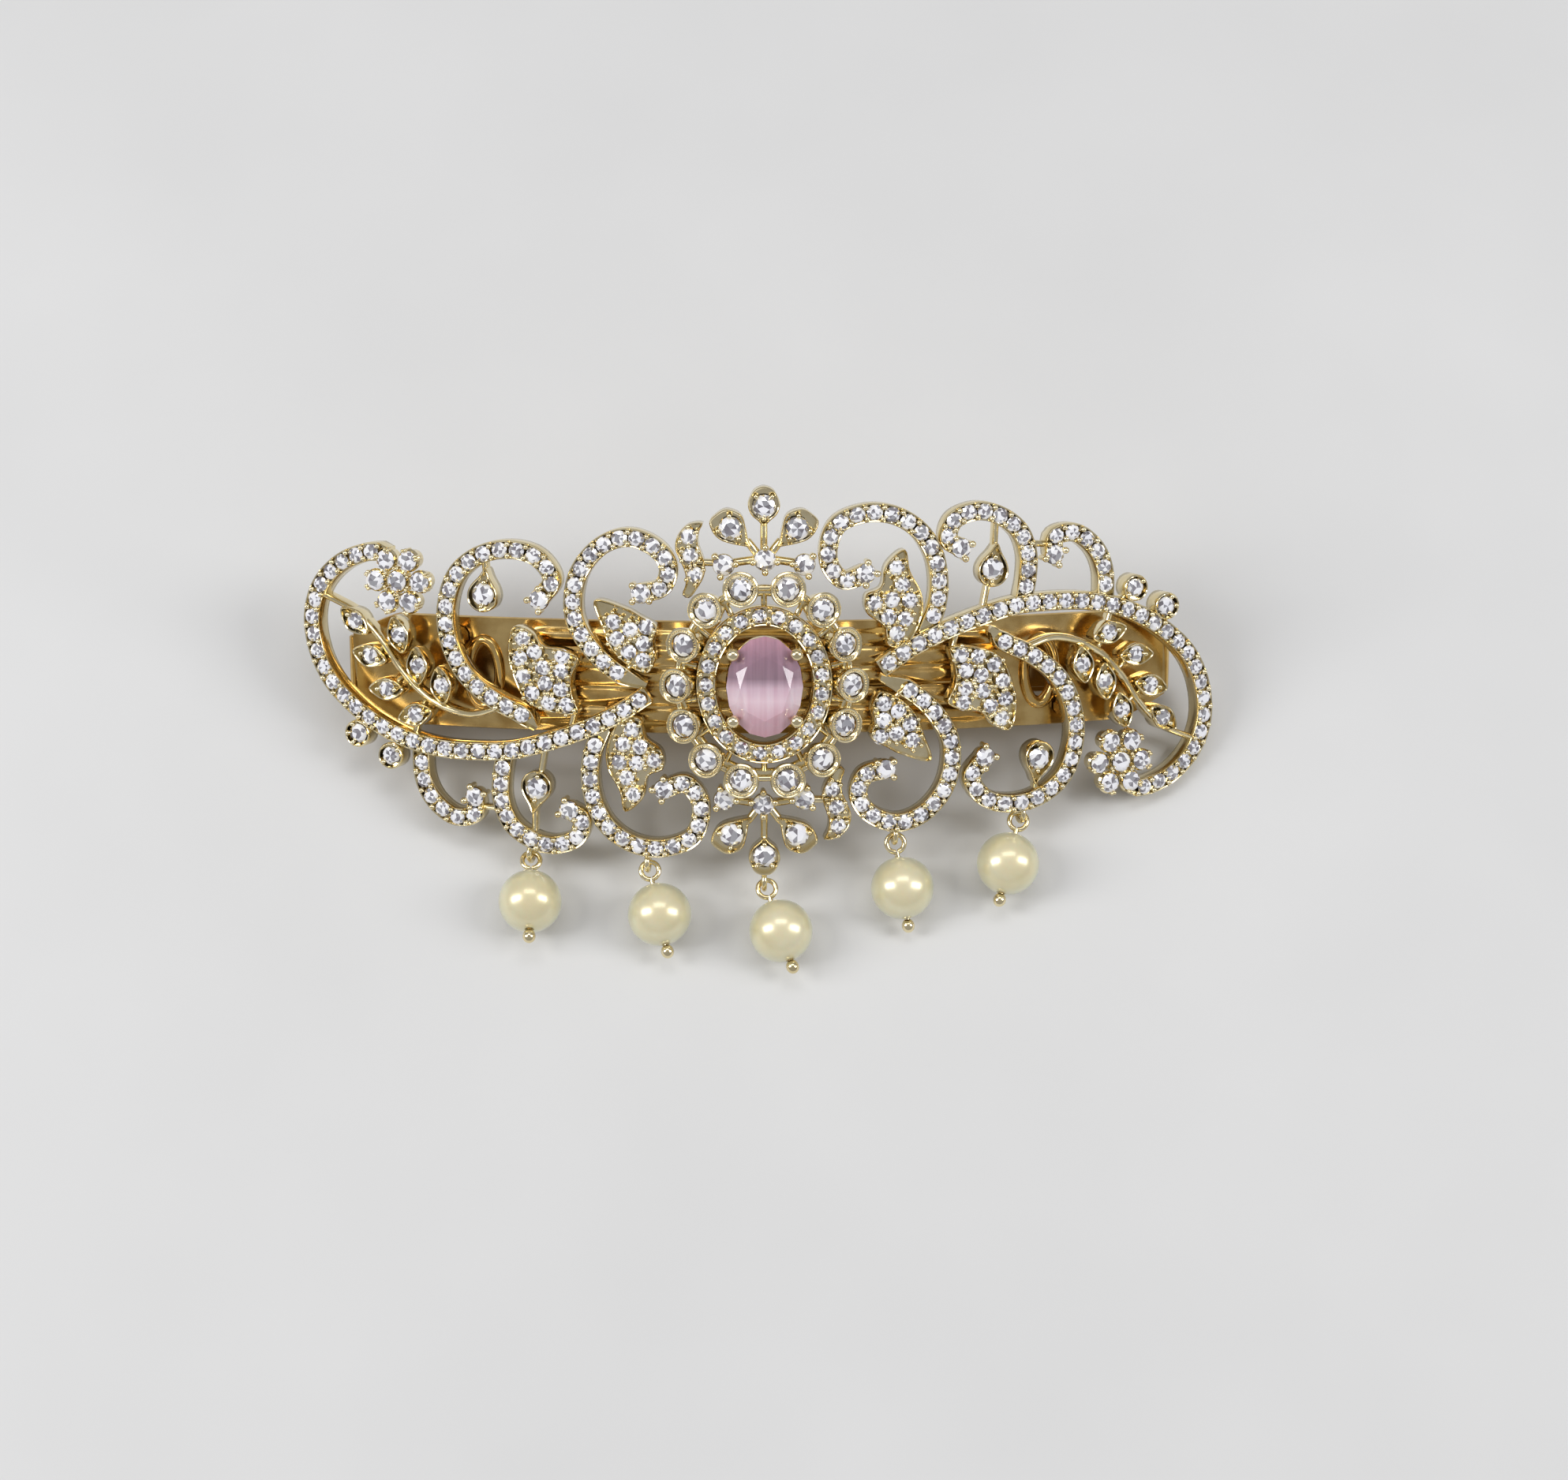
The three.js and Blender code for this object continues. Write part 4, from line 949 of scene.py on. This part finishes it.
def build_catch(look):
    head = [(0, 3.95), (0.75, 3.95), (0.9, 3.85), (0.9, 3.65), (0.55, 3.65)]
    pin = [(r, -z) for r, z in head] + head[::-1]
    rod = Shell().add(*upright(pin, CLIP_END_X, PIN_HEIGHT))
    hand_over(make("hinge_rod", rod, [look], place="local"), "ornament", "clip_gold", "hinge_pin")
    section = [
        (0, -10.4), (0.06, -10.32), (0.44, -10.32), (0.5, -10.4), (0.5, -12.9), (0.6, -12.98), (0.6, -13.1),
        (0.46, -13.45), (0.4, -13.6), (0.1, -13.6), (0, -13.5),
    ]
    rings = (-0.7, -0.62, 0.62, 0.7)
    for name, side in (("front", -1), ("back", 1)):
        points = [(CATCH_X + x, side * (1.75 + u), z) for x in rings for u, z in section]
        shell = Shell().add(np.array(points), capped(len(rings), len(section)))
        piece = make(f"catch_spring_{name}", shell, [look], place="local")
        hand_over(piece, f"catch_leg_{name}", "clip_gold", f"catch_leg_{name}")


# -------- drops

def drop_frame(number):
    """The loop's centre, three axes (along the pin, sideways, up) and how far the pearl is, in world mm."""
    eye = np.array(JOINTS[f"drop_swing_{number}"]["pos_m"]) * 1000
    pearl = np.array(JOINTS[f"pearl_spin_{number}"]["pos_m"]) * 1000
    along = (pearl - eye) / np.linalg.norm(pearl - eye)
    sideways = np.cross(along, [0, 0, 1.0])
    sideways /= np.linalg.norm(sideways)
    return eye, along, sideways, np.cross(sideways, along), np.linalg.norm(pearl - eye)


def build_drops(gold, nacre):
    for number in range(1, 6):
        eye, along, sideways, up, reach = drop_frame(number)
        axes = np.array([sideways, up, along])

        def to_drop(points):
            return np.asarray(points) @ axes + eye

        metal = Shell()
        angle = np.linspace(0.12, 2 * math.pi - 0.12, 40) + math.pi / 2
        loop = [(0.85 * math.cos(a), 0, 0.85 + 0.85 * math.sin(a)) for a in angle]
        points, faces = tube(loop, 0.24, 10)
        metal.add(to_drop(points), faces)
        points, faces = tube([(0, 0, 1.68), (0, 0, 2.0), (0, 0, 5), (0, 0, 8.6)], 0.24, 10)
        metal.add(to_drop(points), faces)
        points, faces = ball(0.62, 12, 18)
        metal.add(to_drop(points * [1, 1, 1.08] + [0, 0, 8.8]), faces)
        piece = make(f"headpin_wire_{number}", metal, [gold], place="world")
        hand_over(piece, f"drop_{number}", "cast_gold", f"headpin_{number}")
        build_pearl(number, to_drop, reach, nacre)


def build_pearl(number, to_drop, reach, nacre):
    rings, radius, bore = 40, 3.0, 0.45
    start = math.asin(bore / radius)
    arc = np.linspace(start, math.pi - start, rings)
    profile = [(radius * math.sin(a), -radius * math.cos(a)) for a in arc]
    profile = [(bore - 0.12, profile[0][1] + 0.25)] + profile + [(bore - 0.12, profile[-1][1] - 0.25)]
    points, faces = lathe(profile, 56, closed=True)
    random = np.random.default_rng(50 + number)
    waves = random.normal(size=(5, 3))
    wobble = sum(np.sin(points @ w * 0.8 + i) for i, w in enumerate(waves)) * 0.008
    points = points * (1 + wobble[:, None] / radius)
    shell = Shell().add(to_drop(points + [0, 0, reach]), faces)
    piece = make(f"pearl_bead_{number}", shell, [nacre], place="world", sharp=50)
    hand_over(piece, f"pearl_{number}", "pearl", f"pearl_{number}")


# -------- materials

def material(name, settings):
    """A new material, its shader with the plain settings made, and helpers that add and link nodes."""
    m = bpy.data.materials.new(name)
    m.use_nodes = True
    nodes = m.node_tree.nodes
    links = m.node_tree.links
    shader = nodes["Principled BSDF"]
    for key, value in settings.items():
        shader.inputs[key].default_value = value

    def node(kind, **values):
        n = nodes.new(kind)
        for key, value in values.items():
            if key in n.inputs:
                n.inputs[key].default_value = value
            else:
                setattr(n, key, value)
        return n

    return m, shader, node, links.new


def noise_of(node, link, scale, detail=3, stretch=(1, 1, 1)):
    """Noise in object space, in features per metre."""
    where = node("ShaderNodeTexCoord")
    mapping = node("ShaderNodeMapping")
    mapping.inputs["Scale"].default_value = stretch
    noise = node("ShaderNodeTexNoise", Scale=scale, Detail=detail)
    link(where.outputs["Object"], mapping.inputs["Vector"])
    link(mapping.outputs["Vector"], noise.inputs["Vector"])
    return noise.outputs["Fac"]


def ramp_of(node, link, source, stops):
    ramp = node("ShaderNodeValToRGB")
    elements = ramp.color_ramp.elements
    while len(elements) < len(stops):
        elements.new(0.5)
    for element, (position, color) in zip(elements, stops):
        element.position = position
        element.color = (*color, 1)
    link(source, ramp.inputs["Fac"])
    return ramp.outputs["Color"]


def bump_of(node, link, source, distance, strength, shader):
    bump = node("ShaderNodeBump", Strength=strength, Distance=distance)
    link(source, bump.inputs["Height"])
    link(bump.outputs["Normal"], shader.inputs["Normal"])


def gold_look(name, light, dark, rough, grain, stretch=(1, 1, 1)):
    """Plated metal: slow colour drift, fine tool grain, and roughness that varies with it."""
    m, shader, node, link = material(name, {"Metallic": 1.0})
    color = ramp_of(node, link, noise_of(node, link, 420), [(0.35, dark), (0.65, light)])
    link(color, shader.inputs["Base Color"])
    fine = noise_of(node, link, grain, 4, stretch)
    spread = node("ShaderNodeMapRange")
    spread.inputs["To Min"].default_value = rough - 0.06
    spread.inputs["To Max"].default_value = rough + 0.1
    link(fine, spread.inputs["Value"])
    link(spread.outputs["Result"], shader.inputs["Roughness"])
    bump_of(node, link, fine, 0.00002, 0.25, shader)
    return m


def facet_look(name, colors, metallic, rough):
    """One kind of facet of the clear stones. The white kind is painted light and the dark kind is painted shade,
    standing in for the light and dark that the stones return.
    """
    m, shader, node, link = material(name, {"Metallic": metallic, "IOR": 2.1})
    color = ramp_of(node, link, noise_of(node, link, 700), [(0.3, colors[0]), (0.7, colors[1])])
    link(color, shader.inputs["Base Color"])
    grain = ramp_of(node, link, noise_of(node, link, 900), [(0.3, (rough,) * 3), (0.8, (rough + 0.04,) * 3)])
    link(grain, shader.inputs["Roughness"])
    return m


def stone_looks():
    return [
        # white facets are painted light and dark facets are painted shade; the mirror facets are metal-like and
        # reflect for real
        facet_look("clear_stone_painted_light", [(0.9, 0.9, 0.97), (1.0, 1.0, 1.0)], 0.0, 0.02),
        facet_look("clear_stone_mirror", [(0.87, 0.87, 0.92), (0.98, 0.97, 1.0)], 1.0, 0.03),
        facet_look("clear_stone_painted_shade", [(0.12, 0.11, 0.13), (0.3, 0.28, 0.31)], 0.0, 0.02),
    ]


def pink_look():
    """Milky pink stone, its colour set by height along the stone: darker over its upper part, brighter in its
    lower part, with fine upright silk.
    """
    m, shader, node, link = material("milky_pink_stone", {
        "Roughness": 0.08, "IOR": 1.55,
        "Subsurface Weight": 0.35, "Subsurface Radius": (1.0, 0.6, 0.5), "Subsurface Scale": 0.0012,
        "Coat Weight": 0.6, "Coat Roughness": 0.03,
    })
    where = node("ShaderNodeTexCoord")
    along = node("ShaderNodeVectorMath", operation="DOT_PRODUCT")
    axis = ROLL @ np.array([0, 1, 0])
    along.inputs[1].default_value = axis
    link(where.outputs["Object"], along.inputs[0])
    level = node("ShaderNodeMapRange")
    middle = float(axis @ ORIGIN) / 1000
    level.inputs["From Min"].default_value = middle - CENTRE_AXES[1] / 1000
    level.inputs["From Max"].default_value = middle + CENTRE_AXES[1] / 1000
    link(along.outputs["Value"], level.inputs["Value"])
    color = ramp_of(node, link, level.outputs["Result"], [
        (0.0, (0.6, 0.32, 0.38)), (0.2, (0.63, 0.4, 0.46)), (0.38, (0.78, 0.6, 0.66)),
        (0.5, (0.66, 0.48, 0.56)), (0.6, (0.31, 0.2, 0.25)), (0.8, (0.34, 0.2, 0.26)),
        (1.0, (0.55, 0.3, 0.38)),
    ])
    silk = noise_of(node, link, 900, 3, (1.6, 0.08, 0.08))
    mix = node("ShaderNodeMix", data_type="RGBA", blend_type="OVERLAY")
    mix.inputs["Factor"].default_value = 0.35
    link(color, mix.inputs[6])
    link(ramp_of(node, link, silk, [(0.3, (0.2, 0.2, 0.2)), (0.7, (0.8, 0.8, 0.8))]), mix.inputs[7])
    link(mix.outputs[2], shader.inputs["Base Color"])
    return m


def pearl_look():
    """Cream pearl coating: soft sheen, faint swirls and a darker greenish edge that is painted reflection and
    painted shade.
    """
    m, shader, node, link = material("pearl_coating", {
        "Metallic": 0.3, "Roughness": 0.3, "Subsurface Weight": 0.12, "Subsurface Scale": 0.0008,
        "Coat Weight": 0.7, "Coat Roughness": 0.06, "Sheen Weight": 0.25, "Sheen Roughness": 0.4,
    })
    swirl = noise_of(node, link, 260, 4, (1, 1, 2.2))
    tints = [(0.3, (0.8, 0.7, 0.42)), (0.55, (0.84, 0.76, 0.5)), (0.75, (0.88, 0.82, 0.6))]
    body = ramp_of(node, link, swirl, tints)
    # painted reflection and shade: a darker greenish tint mixed in towards the rim by facing angle, standing in
    # for the blue surroundings reflected there
    edge = node("ShaderNodeLayerWeight", Blend=0.35)
    mix = node("ShaderNodeMix", data_type="RGBA")
    link(edge.outputs["Facing"], mix.inputs[0])
    link(body, mix.inputs[6])
    mix.inputs[7].default_value = (0.6, 0.62, 0.42, 1)
    link(mix.outputs[2], shader.inputs["Base Color"])
    bump_of(node, link, noise_of(node, link, 1400), 0.00002, 0.15, shader)
    return m


def floor_look():
    m, shader, node, link = material("pale_floor", {"Roughness": 0.65})
    tints = [(0.3, (0.68, 0.68, 0.675)), (0.7, (0.71, 0.71, 0.705))]
    link(ramp_of(node, link, noise_of(node, link, 30), tints), shader.inputs["Base Color"])
    return m


# -------- camera, light and floor

CAMERA_PITCH = math.radians(11.05)   # above the ornament's normal, towards the upper crest
CAMERA_YAW = math.radians(-1.7)
CAMERA_DISTANCE = 260.0
AIM = (1.84, -5.24)                  # picture centre from the ornament's centre, right and up
LENS = 64.09


def add_camera():
    level = math.cos(CAMERA_YAW)
    back = np.array([
        math.sin(CAMERA_YAW), math.sin(CAMERA_PITCH) * level, math.cos(CAMERA_PITCH) * level,
    ])
    up = np.array([0, 1, 0]) - back * back[1]
    up /= np.linalg.norm(up)
    right = np.cross(up, back)
    aim = np.array([0, 0, FACE_HEIGHT]) + AIM[0] * right + AIM[1] * up
    place = to_world([aim + back * CAMERA_DISTANCE])[0] / 1000
    axes = np.column_stack([ROLL @ right, ROLL @ up, ROLL @ back])
    data = bpy.data.cameras.new("camera")
    data.lens = LENS
    data.sensor_width = 36
    data.clip_start = 0.01
    data.clip_end = 10
    camera = bpy.data.objects.new("camera", data)
    camera.matrix_world = Matrix.Translation(place) @ Matrix(axes.tolist()).to_4x4()
    bpy.context.scene.collection.objects.link(camera)
    bpy.context.scene.camera = camera


def add_light(name, place, aim, size, power):
    data = bpy.data.lights.new(name, "AREA")
    data.shape = "RECTANGLE"
    data.size, data.size_y = size
    data.energy = power
    lamp = bpy.data.objects.new(name, data)
    lamp.location = place
    lamp.rotation_euler = (Vector(aim) - Vector(place)).to_track_quat("-Z", "Y").to_euler()
    bpy.context.scene.collection.objects.link(lamp)


def add_studio():
    """Two tall soft panels at either side of the view, leaning together, and a weak one above it."""
    middle = np.array([0, 0, 0.01])
    a = math.radians(52)
    for name, side, power in (("left_panel", -1, 1.35), ("right_panel", 1, 1.1)):
        away = ROLL @ np.array([side * math.sin(a), 0.3, math.cos(a)])
        add_light(name, middle + 0.5 * away, middle, (0.16, 0.34), power)
    add_light("top_panel", middle + 0.55 * (ROLL @ np.array([0, 0.75, 0.66])), middle, (0.4, 0.14), 0.5)
    bpy.context.scene.view_settings.view_transform = "Standard"
    world = bpy.data.worlds.new("studio")
    bpy.context.scene.world = world
    world.use_nodes = True
    background = world.node_tree.nodes["Background"]
    background.inputs["Color"].default_value = (0.97, 0.97, 1.0, 1)
    background.inputs["Strength"].default_value = 0.36
    floor = bpy.data.meshes.new("floor")
    half = 1.5
    corners = [(-half, -half, 0), (half, -half, 0), (half, half, 0), (-half, half, 0)]
    floor.from_pydata(corners, [], [(0, 1, 2, 3)])
    floor.materials.append(floor_look())
    piece = bpy.data.objects.new("floor", floor)
    bpy.context.scene.collection.objects.link(piece)


# -------- making it all

add_camera()
add_studio()

cast_gold = gold_look("champagne_gold", (0.93, 0.82, 0.54), (0.8, 0.67, 0.39), 0.13, 3000)
# the clip's amber gold is partly its own colour and partly painted shade: darker than the metal alone, standing in
# for the shade under the openwork
clip_gold = gold_look("clip_gold", (0.76, 0.54, 0.22), (0.54, 0.34, 0.11), 0.16, 1500, (0.05, 1, 1))
facets = stone_looks()

build_castings(cast_gold, facets)
build_medallion(cast_gold, facets)
build_centre(cast_gold, pink_look())
build_plate(clip_gold)
build_arm(clip_gold)
build_spring(clip_gold)
build_catch(clip_gold)
build_drops(cast_gold, pearl_look())
for node in ["catch_base"] + [f"mount_post_{i}" for i in range(1, 7)]:
    shown = frame["nodes"][node]
    shown.data.materials.clear()
    shown.data.materials.append(clip_gold)
